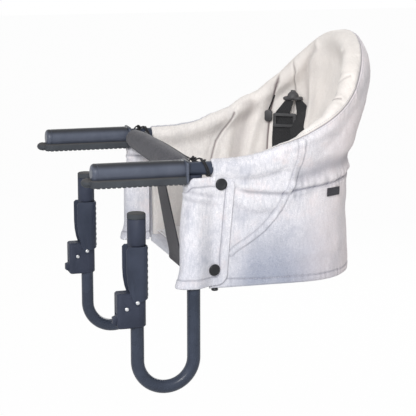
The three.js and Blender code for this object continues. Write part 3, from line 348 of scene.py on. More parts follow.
def surface_uv(p, wrap_rows, wrap_cols):
    """Lengths along the rows' and columns' middle lines."""
    rows, cols = p.shape[:2]
    middle_row = p[rows // 2]
    middle_col = p[:, cols // 2]
    if wrap_cols:
        middle_row = np.vstack([middle_row, middle_row[:1]])
    if wrap_rows:
        middle_col = np.vstack([middle_col, middle_col[:1]])
    return np.stack(np.meshgrid(lengths(middle_row), lengths(middle_col)), -1)


def tidy(mesh):
    bm = bmesh.new()
    bm.from_mesh(mesh)
    bmesh.ops.remove_doubles(bm, verts=bm.verts, dist=MERGE)
    bmesh.ops.dissolve_degenerate(bm, edges=bm.edges, dist=MERGE)
    bmesh.ops.recalc_face_normals(bm, faces=bm.faces)
    bm.to_mesh(mesh)
    bm.free()


def shade(mesh, sharp):
    mesh.polygons.foreach_set("use_smooth", [True] * len(mesh.polygons))
    if sharp:
        mesh.set_sharp_from_angle(angle=math.radians(sharp))


def set_up(thing, **values):
    """Gives a Blender thing those attributes."""
    for key, value in values.items():
        setattr(thing, key, value)
    return thing


def add_object(name, data):
    obj = bpy.data.objects.new(name, data)
    scene.collection.objects.link(obj)
    return obj


def keep(name, mesh, materials, body, stands_for=()):
    obj = add_object(name, mesh)
    kinds = np.zeros(len(mesh.polygons), np.int32)
    mesh.polygons.foreach_get("material_index", kinds)
    mesh.materials.clear()
    for material in materials if isinstance(materials, list) else [materials]:
        mesh.materials.append(material)
    mesh.polygons.foreach_set("material_index", np.minimum(kinds, len(mesh.materials) - 1))
    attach(obj, body)
    if stands_for:
        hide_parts(*stands_for)
    return obj


def frames(points):
    """Two directions across a curve at each of its points, turned as little as possible."""
    tangent = unit(np.gradient(points, axis=0))
    start = np.array([0, 0, 1.0]) if abs(tangent[0][2]) < 0.9 else np.array([0, 1.0, 0])
    a = [unit(start - tangent[0] * (start @ tangent[0]))]
    for t in tangent[1:]:
        a.append(unit(a[-1] - t * (a[-1] @ t)))
    a = np.array(a)
    return a, np.cross(tangent, a)


def swept(points, radius, sides):
    p = np.asarray(points, float)
    a, b = frames(p)
    angle = circle(sides)
    r = np.broadcast_to(radius, len(p))[:, None, None]
    return p[:, None] + r * (a[:, None] * np.cos(angle)[:, None] + b[:, None] * np.sin(angle)[:, None])


def tube(points, radius, sides):
    return Build().spool(swept(points, radius, sides))


def turned(profile, sides, at, axis):
    """Rings of (radius, height) round an axis through a point."""
    axis = unit(np.asarray(axis, float))
    side = unit(np.cross(axis, [0, 0, 1.0] if abs(axis[2]) < 0.9 else [1.0, 0, 0]))
    other = np.cross(axis, side)
    angle = circle(sides)[None, :, None]
    r, h = np.asarray(profile, float).T[:, :, None, None]
    return np.asarray(at, float) + r * (np.cos(angle) * side + np.sin(angle) * other) + h * axis


def mirror(p, sign):
    """Points with y multiplied by a sign, one for all or one for each column."""
    q = np.array(p, float)
    q[..., 1] *= sign
    return q


STITCH_PITCH = 3.7
STITCH_LENGTH = 2.5
STITCH_R = 0.36
STITCH_SIDES = 6
STITCH_REACH = 0.8
# Place along the stitch and radius, as shares of its length and radius
STITCH_PROFILE = np.array([(-0.5, 0.35), (-0.34, 0.9), (0.34, 0.9), (0.5, 0.35)])[:, None]


def stitch_row(build, points, normals):
    """Short raised threads along a line on a surface."""
    reach = lengths(points)
    count = max(int(reach[-1] / STITCH_PITCH), 1)
    middle = (np.arange(count) + 0.5) * reach[-1] / count
    angle = circle(STITCH_SIDES)

    def pick(values, at):
        return np.stack([np.interp(at, reach, values[:, k]) for k in range(3)], -1)

    for m in middle:
        centre = pick(points, [m])[0]
        ends = [max(m - STITCH_REACH, 0), min(m + STITCH_REACH, reach[-1])]
        way = unit(np.diff(pick(points, ends), axis=0)[0])
        up = unit(pick(normals, [m])[0])
        side = unit(np.cross(way, up))
        up = np.cross(side, way)
        ring = np.cos(angle)[:, None] * side + np.sin(angle)[:, None] * up
        lengthwise = STITCH_PROFILE[..., :1] * STITCH_LENGTH * way
        build.spool(centre + lengthwise + STITCH_PROFILE[..., 1:] * STITCH_R * ring)


# Materials

def add_node(tree, kind, inputs, **attributes):
    """A shader node whose inputs, by name or number, are values or other nodes' outputs."""
    node = set_up(tree.nodes.new(kind), **attributes)
    for key, value in inputs.items():
        feed(tree, node.inputs[key], value)
    return node


def feed(tree, socket, value):
    if hasattr(value, "is_output"):
        tree.links.new(value, socket)
    else:
        socket.default_value = value


def empty_tree(owner):
    owner.use_nodes = True
    owner.node_tree.nodes.clear()
    return owner.node_tree


class Look:
    """A node material with one principled shader."""

    def __init__(self, name, roughness, **settings):
        self.mat = bpy.data.materials.new(name)
        self.tree = empty_tree(self.mat)
        self.shader = add_node(self.tree, "ShaderNodeBsdfPrincipled", {})
        add_node(self.tree, "ShaderNodeOutputMaterial", {0: self.shader.outputs[0]})
        self.set(Roughness=roughness, **settings)
        self.coords = add_node(self.tree, "ShaderNodeTexCoord", {}).outputs

    def set(self, **values):
        """Values or outputs into the shader's inputs of those names."""
        for key, value in values.items():
            feed(self.tree, self.shader.inputs[key.replace("_", " ")], value)

    def noise(self, scale, detail=3.0, rough=0.55, stretch=None):
        at = self.coords["Object"]
        if stretch:
            at = add_node(self.tree, "ShaderNodeMapping", {"Vector": at, "Scale": stretch}).outputs[0]
        inputs = {"Vector": at, "Scale": scale, "Detail": detail, "Roughness": rough}
        return add_node(self.tree, "ShaderNodeTexNoise", inputs).outputs[0]

    def wave(self, pitch, direction, distortion, space="UV"):
        """Bands with that pitch in metres."""
        scale = 2 * math.pi / 20 / pitch
        inputs = {"Vector": self.coords[space], "Scale": scale, "Distortion": distortion, "Detail": 0}
        kind = dict(wave_type="BANDS", bands_direction=direction)
        return add_node(self.tree, "ShaderNodeTexWave", inputs, **kind).outputs[1]

    def part(self, space, axis):
        """One component of a texture coordinate."""
        return add_node(self.tree, "ShaderNodeSeparateXYZ", {0: self.coords[space]}).outputs[axis]

    # Painted shade of creases, folds and seam grooves, read from the mesh
    def crease_shade(self):
        return add_node(self.tree, "ShaderNodeAttribute", {}, attribute_name="crease_shade").outputs["Fac"]

    def math(self, kind, a, b):
        return add_node(self.tree, "ShaderNodeMath", {0: a, 1: b}, operation=kind, use_clamp=True).outputs[0]

    def span(self, value, low, high, to_low=0.0, to_high=1.0):
        inputs = {"Value": value, "From Min": low, "From Max": high, "To Min": to_low, "To Max": to_high}
        return add_node(self.tree, "ShaderNodeMapRange", inputs, interpolation_type="SMOOTHSTEP").outputs[0]

    def tint(self, factor, first, second):
        inputs = {0: factor, 6: first, 7: second}
        return add_node(self.tree, "ShaderNodeMix", inputs, data_type="RGBA").outputs[2]

    def bump(self, *layers):
        """Layers of (height, depth in metres)."""
        below = {}
        for height, depth in layers:
            inputs = {"Height": height, "Distance": depth, "Strength": 1.0, **below}
            below = {"Normal": add_node(self.tree, "ShaderNodeBump", inputs).outputs[0]}
        self.set(**below)


def srgb(*tones):
    """Linear colours of tones given as red, green and blue from 0 to 255."""
    def linear(c):
        c /= 255
        return c / 12.92 if c <= 0.04045 else ((c + 0.055) / 1.055) ** 2.4

    return [(*(linear(c) for c in tone), 1.0) for tone in tones]


# Width of a thread of the weave, in metres
THREAD = 0.0011


# low is a mottle tone and also the colour of the painted shade low down; seam is the colour of the painted
# shade in creases, folds and seam grooves
def cloth_look(name, pale, deep, warm, low, seam, space="UV", sheen=0.2):
    """A melange weave: pale and deep threads, painted shade low down in a cooler tone, warmer at the back,
    and painted shade in its creases.
    """
    pale, deep, warm, low, seam = srgb(pale, deep, warm, low, seam)
    look = Look(name, 0.92, Sheen_Weight=sheen, Sheen_Roughness=0.5, Specular_IOR_Level=0.2)
    height = look.part("Object", "Z")
    from_front = look.part("Object", "X")
    fleck = look.noise(1200, 2.0, 0.6)
    slub = look.noise(330, 3.0, 0.6, stretch=(1, 1, 0.3))
    mottle = look.noise(30, 5.0, 0.6)
    cloud = look.noise(11, 3.0)
    tone = look.tint(look.span(fleck, 0.36, 0.64), deep, pale)
    tone = look.tint(look.span(slub, 0.42, 0.66, 0.0, 0.75), tone, deep)
    tone = look.tint(look.span(mottle, 0.5, 0.7, 0.0, 0.3), tone, low)
    tone = look.tint(look.span(mottle, 0.3, 0.48, 0.4, 0.0), tone, warm)
    # Painted shade low down on the wall, patchy and weaker at the front
    fall = look.span(height, -0.15, -0.01, 1.0, 0.0)
    fall = look.math("MULTIPLY", fall, look.span(cloud, 0.3, 0.6, 0.6, 1.0))
    fall = look.math("MULTIPLY", fall, look.span(from_front, 0.05, 0.09, 0.35, 1.0))
    tone = look.tint(fall, tone, look.tint(look.span(fleck, 0.3, 0.7, 0.0, 0.5), low, deep))
    back = look.span(from_front, 0.12, 0.26, 0.0, 0.9)
    back = look.math("MULTIPLY", back, look.span(cloud, 0.35, 0.65, 0.5, 1.0))
    tone = look.tint(back, tone, look.tint(look.span(fleck, 0.36, 0.64, 0.0, 0.6), warm, pale))
    # The base colour darkens to the seam colour as painted shade in creases, folds and seam grooves
    look.set(Base_Color=look.tint(look.crease_shade(), tone, seam), Roughness=look.span(slub, 0.2, 0.8, 0.84, 0.98))
    over = look.wave(2 * THREAD, "X", 0.4, space)
    under = look.wave(2 * THREAD, "Y", 0.4, space)
    look.bump((cloud, 0.001), (slub, 0.00018), (look.math("MAXIMUM", over, under), 0.0001))
    return look.mat


def plastic_look(name, base, worn, roughness, grain=900, depth=0.00004, top=None, gloss=0.2):
    """Moulded or painted: fine grain, soft blotches, a paler rub in streaks, and another tone on top that
    paints the light or shade falling there.
    """
    base, worn = srgb(base, worn)
    look = Look(name, roughness, Specular_IOR_Level=gloss)
    fine = look.noise(grain, 2.0)
    blotch = look.noise(22, 4.0, 0.6)
    streak = look.noise(60, 3.0, 0.6, stretch=(1, 1, 0.2))
    tone = look.tint(look.span(blotch, 0.35, 0.7, 0.0, 0.5), base, worn)
    tone = look.tint(look.span(streak, 0.62, 0.8, 0.0, 0.35), tone, worn)
    # Upward faces take the top tone: painted light on the rubber pads, painted shade on the grips
    if top:
        upward = look.part("Normal", "Z")
        tone = look.tint(look.span(upward, 0.35, 0.9, 0.0, 0.85), tone, srgb(top)[0])
    look.set(Base_Color=tone, Roughness=look.span(blotch, 0.3, 0.7, roughness - 0.06, roughness + 0.08))
    look.bump((blotch, 0.00006), (fine, depth))
    return look.mat


def webbing_look(name, base, pale, rib=0.0016):
    """Woven tape: ribs across it, a twill along it and faded flecks."""
    base, pale = srgb(base, pale)
    look = Look(name, 0.85, Sheen_Weight=0.1, Sheen_Roughness=0.5, Specular_IOR_Level=0.25)
    fleck = look.noise(900, 2.0)
    wear = look.noise(35, 4.0)
    ribs = look.wave(rib, "Y", 0.3)
    twill = look.wave(rib * 1.5, "DIAGONAL", 0.3)
    tone = look.tint(look.span(fleck, 0.4, 0.7, 0.0, 0.6), base, pale)
    tone = look.tint(look.span(wear, 0.55, 0.8, 0.0, 0.3), tone, pale)
    look.set(Base_Color=tone, Roughness=look.span(fleck, 0.3, 0.7, 0.76, 0.94))
    look.bump((ribs, 0.00025), (twill, 0.00018), (fleck, 0.0001))
    return look.mat


def cord_look(name, base, pale, braid=0.0014):
    """A plaited cord or thread with paler flecks."""
    base, pale = srgb(base, pale)
    look = Look(name, 0.8, Sheen_Weight=0.1, Specular_IOR_Level=0.3)
    fleck = look.noise(1100, 2.0)
    plait = look.wave(braid, "DIAGONAL", 0.5, "Object")
    tone = look.tint(look.span(fleck, 0.4, 0.7, 0.0, 0.7), base, pale)
    look.set(Base_Color=tone, Roughness=look.span(fleck, 0.3, 0.7, 0.7, 0.9))
    look.bump((plait, 0.0002), (fleck, 0.0001))
    return look.mat


def steel_look(name, bright, stained):
    """Brushed metal with faint stains."""
    bright, stained = srgb(bright, stained)
    look = Look(name, 0.28, Metallic=1.0)
    brushed = look.noise(900, 3.0, 0.6, stretch=(1, 0.1, 1))
    stain = look.noise(90, 3.0)
    tone = look.tint(look.span(stain, 0.4, 0.75, 0.0, 0.6), bright, stained)
    look.set(Base_Color=tone, Roughness=look.span(brushed, 0.3, 0.7, 0.2, 0.38))
    look.bump((brushed, 0.00003), (stain, 0.00003))
    return look.mat


outer_cloth = cloth_look(
    "seat_cloth_outer", pale=(246, 244, 248), deep=(208, 208, 215), warm=(242, 228, 227), low=(136, 144, 165),
    seam=(104, 105, 120),
)
inner_cloth = cloth_look(
    "seat_cloth_inner", pale=(246, 242, 238), deep=(226, 221, 218), warm=(238, 230, 224), low=(214, 211, 211),
    seam=(112, 100, 102),
)
pad_cloth = cloth_look(
    "seat_cloth_pad", pale=(234, 232, 231), deep=(216, 215, 218), warm=(224, 218, 214), low=(226, 225, 226),
    seam=(140, 136, 142), space="Object",
)
roll_cloth = cloth_look(
    "roll_cloth", pale=(92, 91, 97), deep=(64, 64, 70), warm=(79, 76, 78), low=(57, 58, 65),
    seam=(34, 34, 38), sheen=0.1,
)
thread_look = cord_look("seam_thread", (186, 186, 196), (206, 206, 214), 0.0006)
cord_fabric = cord_look("cord_fabric", (22, 22, 25), (46, 46, 50))
web = webbing_look("harness_webbing", (40, 40, 42), (64, 64, 66))
strap_web = webbing_look("crotch_webbing", (56, 55, 60), (80, 79, 85), 0.0022)
tube_paint = plastic_look("tube_paint", (50, 56, 69), (66, 73, 89), 0.27, 1500, 0.00002)
# The top tone is painted shade on the grips' upper side
satin = plastic_look("satin_plastic", (80, 85, 98), (98, 104, 118), 0.34, 1300, 0.00003, top=(36, 36, 37))
lever_plastic = plastic_look("lever_plastic", (48, 54, 68), (62, 68, 84), 0.46, 1200)
matte = plastic_look("matte_plastic", (46, 51, 65), (62, 67, 83), 0.5, 1100, 0.00005)
# The top tone is painted light on the pads' upper side
rubber = plastic_look("rubber", (60, 63, 68), (80, 84, 89), 0.72, 800, 0.00008, top=(78, 77, 77))
snap_plastic = plastic_look("snap_plastic", (28, 30, 33), (44, 46, 50), 0.4, 1200, 0.00003, gloss=0.35)
harness_plastic = plastic_look("harness_plastic", (66, 66, 68), (90, 90, 92), 0.4)
steel = steel_look("rivet_steel", (222, 223, 226), (176, 178, 182))


# Camera, light and floor

CAMERA_LENS = 131.8
SENSOR_W = 36
FAR_CLIP = 50
CAMERA_AT = (-0.563, -2.173, 0.373)
CAMERA_WAY = (0.2747, 0.9420, -0.1930)
WHITE = (1, 1, 1, 1)
WORLD_LIGHT = 0.36
LAMP_AIM = (0.08, 0, -0.05)
# Name, place, diameter in metres and power in watts
LAMPS = [
    ("key", (-0.9, -2.2, 1.1), 1.0, 53),
    ("side", (-1.9, -0.6, 0.9), 1.4, 8),
    ("rear", (1.5, 2.0, 1.0), 1.6, 34),
]
FLOOR_Z = -0.74
FLOOR_REACH = 14
FLOOR_WHITE = 0.97
FLOOR_TONE = (0.8, 0.8, 0.8, 1)
FLOOR_ROUGHNESS = 0.9


def stand(obj, at, way):
    """Stands a camera or lamp at a point, looking along a direction."""
    obj.location = at
    obj.rotation_euler = Vector(way).to_track_quat("-Z", "Y").to_euler()


def set_camera():
    data = bpy.data.cameras.new("camera")
    set_up(data, lens=CAMERA_LENS, sensor_width=SENSOR_W, clip_end=FAR_CLIP)
    scene.camera = add_object("camera", data)
    stand(scene.camera, CAMERA_AT, CAMERA_WAY)


def add_lamp(name, at, size, power):
    data = set_up(bpy.data.lights.new(name, "AREA"), shape="DISK", size=size, energy=power)
    stand(add_object(name, data), at, Vector(LAMP_AIM) - Vector(at))


def shown_as(tree, lit, shown, share=1.0):
    """The first shader, but that share of the second for the camera, reflections and glass."""
    path = add_node(tree, "ShaderNodeLightPath", {}).outputs
    factor = path["Is Camera Ray"]
    for name in ("Is Glossy Ray", "Is Transmission Ray"):
        factor = add_node(tree, "ShaderNodeMath", {0: factor, 1: path[name]}, operation="MAXIMUM").outputs[0]
    factor = add_node(tree, "ShaderNodeMath", {0: factor, 1: share}, operation="MULTIPLY").outputs[0]
    inputs = {0: factor, 1: lit.outputs[0], 2: shown.outputs[0]}
    return add_node(tree, "ShaderNodeMixShader", inputs).outputs[0]


def set_world():
    world = bpy.data.worlds.new("studio")
    tree = empty_tree(world)
    skies = [add_node(tree, "ShaderNodeBackground", {0: WHITE, 1: level}) for level in (WORLD_LIGHT, 1.0)]
    add_node(tree, "ShaderNodeOutputWorld", {0: shown_as(tree, *skies)})
    scene.world = world


def add_floor():
    mesh = bpy.data.meshes.new("floor")
    corners = [(x * FLOOR_REACH, y * FLOOR_REACH, FLOOR_Z) for x, y in ((-1, -1), (1, -1), (1, 1), (-1, 1))]
    mesh.from_pydata(corners, [], [(0, 1, 2, 3)])
    mat = bpy.data.materials.new("floor")
    tree = empty_tree(mat)
    inputs = {"Base Color": FLOOR_TONE, "Roughness": FLOOR_ROUGHNESS}
    shader = add_node(tree, "ShaderNodeBsdfPrincipled", inputs)
    glow = add_node(tree, "ShaderNodeEmission", {0: WHITE})
    add_node(tree, "ShaderNodeOutputMaterial", {0: shown_as(tree, shader, glow, FLOOR_WHITE)})
    mesh.materials.append(mat)
    floor = add_object("floor", mesh)


scene.view_settings.view_transform = "Standard"
set_camera()
set_world()
add_floor()
for lamp in LAMPS:
    add_lamp(*lamp)


# Cords

def add_cord(name, points, stands_for):
    data = bpy.data.curves.new(name, "CURVE")
    set_up(data, dimensions="3D", bevel_depth=CORD_R * MM, bevel_resolution=5)
    set_up(data, use_fill_caps=True, resolution_u=1)
    spline = data.splines.new("POLY")
    spline.points.add(len(points) - 1)
    for knot, p in zip(spline.points, np.asarray(points) * MM):
        knot.co = (*p, 1)
    spline.use_smooth = True
    obj = add_object(name, data)
    data.materials.append(cord_fabric)
    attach(obj, "frame")
    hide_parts(*stands_for)


def winding_route():
    turn = np.linspace(0, WINDING_TURNS, 24 * WINDING_TURNS + 1)
    angle = 2 * math.pi * turn
    x = WINDING_END_X - (WINDING_TURNS - turn) * WINDING_PITCH - WINDING_LEAN * np.cos(angle)
    coil = pack(x, HALF_SPAN + WINDING_R * np.sin(angle), ARM_AXIS_Z + WINDING_R * np.cos(angle))
    first = coil[0] + 2 * CORD_R * unit(coil[0] - coil[1])
    last = coil[-1] + 2 * CORD_R * unit(coil[-1] - coil[-2])
    return np.vstack([first, coil, last])


half_cord = np.array(BUMPER_CORD, float)
bumper_route = along(np.vstack([half_cord, mirror(half_cord[-2::-1], -1)]), 60)
add_cord("bumper_cord_run", bumper_route, ["bumper_cord"])
add_cord("clip_tether_cord", along(TETHER_POINTS, 24), ["right_clip_tether"])
for side, sign in SIDES:
    add_cord(f"{side}_arm_winding", mirror(winding_route(), sign), [f"{side}_cord_winding"])


def knot_route():
    """A loose overhand knot whose two ends run off over the arm."""
    t = np.linspace(KNOT_OPEN, 2 * math.pi - KNOT_OPEN, 70)
    across = 2 + np.cos(3 * t)
    loop = pack(np.sin(3 * t), across * np.cos(2 * t), across * np.sin(2 * t))
    loop = loop * KNOT_SIZE + KNOT_AT
    return along(np.vstack([KNOT_START, loop[::3], KNOT_END]), 150)


for side, sign in SIDES:
    tube(mirror(knot_route(), sign), KNOT_CORD_R, 12).piece(
        f"{side}_knotted_cord", cord_fabric, "frame", "cord", [f"{side}_cord_knot"], sharp=60
    )


# Seat wall

def plan(v, front, turn, back, half, square):
    """Where the wall stands at a share of the way round, from one side's front edge (0) to mid-back (1)."""
    angle = np.clip((v - SIDE_SHARE) / (1 - SIDE_SHARE), 0, 1) * math.pi / 2
    straight = v <= SIDE_SHARE
    x = np.where(straight, mix(front, turn, v / SIDE_SHARE), mix(turn, back, np.sin(angle) ** (2 / square)))
    y = np.where(straight, half, half * np.maximum(np.cos(angle), 0) ** (2 / square))
    return pack(x, y)


def outward(v, shape, step=0.01):
    a = plan(np.maximum(v - step, 0), **shape)
    b = plan(np.minimum(v + step, 1), **shape)
    out = unit(pack(a[..., 1] - b[..., 1], b[..., 0] - a[..., 0]))
    return np.where((v >= 1 - step / 2)[..., None], np.array([1.0, 0.0]), out)


def rim(v):
    at = plan(v, **RIM)
    z = mix(ARM_AXIS_Z, RIM_TOP_Z, ease(v) ** RIM_LAG)
    return np.concatenate([at, z[..., None]], -1)


def wall(v, t, out, full=1.0):
    """The wall at shares round and up, moved out by that much; full is the share of its belly."""
    v, t = np.broadcast_arrays(np.asarray(v, float), np.asarray(t, float))
    low = plan(v, **BASE)
    top = rim(v)
    normal = outward(v, RIM)
    k = ease(2 * v - 1)
    belly = full * mix(SIDE_BELLY, BACK_BELLY, k) * np.sin(math.pi * t**BELLY_POWER)
    belly = belly - BACK_WAIST * k * np.sin(math.pi * t) ** 2 + out
    flat = mix(low, top[..., :2], t[..., None]) + normal * belly[..., None]
    return np.concatenate([flat, mix(BASE_Z, top[..., 2], t)[..., None]], -1)


# Lines on the wall, as (round the seat, up the wall); above 1 they run on over the rim
FELLED_SEAM = [
    (0.09, 0.29), (0.12, 0.335), (0.235, 0.47), (0.312, 0.6), (0.36, 0.733), (0.388, 0.88), (0.405, 1.03),
]
WAIST_SEAM = [(0.365, 0.7), (0.41, 0.685), (0.475, 0.65), (0.615, 0.573), (0.8, 0.497), (1.0, 0.47)]
WAIST_CREASE = [(0.115, 0.813), (0.18, 0.78), (0.25, 0.747), (0.35, 0.69)]
HEM_STITCH = [(0.0, 0.088), (0.055, 0.08), (0.23, 0.06), (0.395, 0.053), (0.66, 0.04), (1.0, 0.035)]
OVERHANG = [(0.4, 0.79), (0.5, 0.76), (0.62, 0.67), (0.75, 0.6), (0.9, 0.57), (1.0, 0.56)]
MID_FOLD = [(0.1, 0.69), (0.2, 0.6), (0.29, 0.58)]
LOW_FOLD = [(0.08, 0.2), (0.255, 0.187), (0.465, 0.213), (0.7, 0.2)]
TUBE_FOLD = [(0.02, 0.93), (0.12, 0.9), (0.22, 0.885), (0.33, 0.87)]
RIM_FOLD = [(0.36, 0.99), (0.43, 0.97), (0.52, 0.93), (0.58, 0.86)]
DART = [(0.418, 1.02), (0.394, 0.955), (0.362, 0.873), (0.315, 0.7), (0.29, 0.55)]
PANEL_EDGE = [
    (0.655, 1.08), (0.63, 1.03), (0.6, 0.99), (0.585, 0.907), (0.575, 0.847), (0.565, 0.733), (0.56, 0.6),
]
BACK_SEAM = [(0.735, 1.08), (0.72, 1.02), (0.7, 0.973), (0.695, 0.893), (0.69, 0.72), (0.68, 0.5)]
SOFT_FOLD = [(0.545, 0.92), (0.515, 0.847), (0.485, 0.727), (0.46, 0.6)]
SOFT_VALLEY = [(0.485, 1.0), (0.47, 0.953), (0.45, 0.867), (0.425, 0.733), (0.41, 0.6)]
BACK_FOLD = [(0.85, 1.0), (0.8, 0.953), (0.765, 0.873), (0.77, 0.76), (0.78, 0.55)]
UPPER_PLEAT = [(0.705, 1.12), (0.69, 1.03)]
LOWER_PLEAT = [(0.61, 1.12), (0.6, 1.04)]

# Beside each line: ridges of (height, place across it, width) and bands of painted shade of (strength, place,
# width).
# The painted shade of covered folds fades out under the flap.
OPEN_FOLDS = [
    (WAIST_SEAM, [(2.2, 8, 6), (-2.4, 0, 3), (0.9, -5.5, 3)], [(0.75, 0, 1.3), (0.16, -2.5, 4)]),
    (OVERHANG, [(1.4, 17, 12), (-5.4, 0, 10)], [(0.5, -2, 10)]),
    (MID_FOLD, [(1.4, 11, 7), (-1.8, 0, 5)], [(0.14, 0, 4)]),
    (LOW_FOLD, [(1.5, 0, 11)], []),
]
COVERED_FOLDS = [
    (WAIST_CREASE, [(1.9, 7, 5), (0.8, -9, 6), (-2.4, 0, 3)], [(0.5, 0, 2.6)]),
    (TUBE_FOLD, [(1.2, 8, 5), (-1.44, 0, 3.5)], [(0.192, 0, 2.5)]),
    (RIM_FOLD, [(0.7, 8, 5), (-0.84, 0, 3.5)], [(0.112, 0, 2.5)]),
]
LINING_SEAMS = [
    (DART, [(0.9, 4, 3), (-1.3, 0, 1.5), (-1.6, -6, 6)], [(0.75, 0, 1.5), (0.12, -5, 6)]),
    (PANEL_EDGE, [(-1.6, 0, 1.8)], [(0.95, -0.6, 1.7), (0.2, -5, 5)]),
    (BACK_SEAM, [(-1.3, 0, 1.4)], [(0.6, 0, 1.3)]),
]
LINING_FOLDS = [
    (SOFT_FOLD, [(4.6, 0, 8)], []),
    (SOFT_VALLEY, [(2.6, -17, 9), (-4.2, 0, 9)], [(0.36, 0, 10)]),
    (BACK_FOLD, [(1.6, 11, 7), (-2.6, 0, 7)], [(0.26, 0, 8)]),
]
PLEATS = [
    (UPPER_PLEAT, [(0.5, 4, 3), (-0.7, 0, 1.3)], [(0.3, 0, 1.1)]),
    (LOWER_PLEAT, [(0.5, 4, 3), (-0.7, 0, 1.3)], [(0.6, 0, 1.1)]),
]

# Rows of stitches: the line, and how far to its left
STITCHED = [(FELLED_SEAM, -3.1), (FELLED_SEAM, 3.1), (HEM_STITCH, 0), (WAIST_SEAM, -3.2)]
RIM_STITCH = 3.4

# Along the rim: where the seam lies round the tube, in degrees, and how thick the padding is
SEAM_ROUND = [0, 0.3, 0.42, 0.5, 0.58, 0.65, 0.72, 0.8, 0.9, 1]
SEAM_ANGLE = [90, 82, 52, 33, 2, -16, -6, 12, 24, 30]
RIM_PAD_ROUND = [0, 0.6, 0.72, 0.85, 1]
RIM_PAD = [0, 0, 9, 9, 6]
RIM_PAD_FALL = 60

COLUMNS = 521
OUTER_ROWS = 120
INNER_ROWS = 84
BEAD_ROWS = 40
SEAM_ROWS = 14
SEAM_BAND = 16
LINING_ROWS = 24
LINING_BAND = 30
RIM_SWELL = 32
SEAM_ROW = OUTER_ROWS + SEAM_ROWS
FLAP_COVER = 40
FLAP_COVER_EDGE = 14
LINING_FILL = 0.75
FELL_HALF = 4.7
OUTER_DEPTH = 3.8
LINING_DEPTH = 2.4


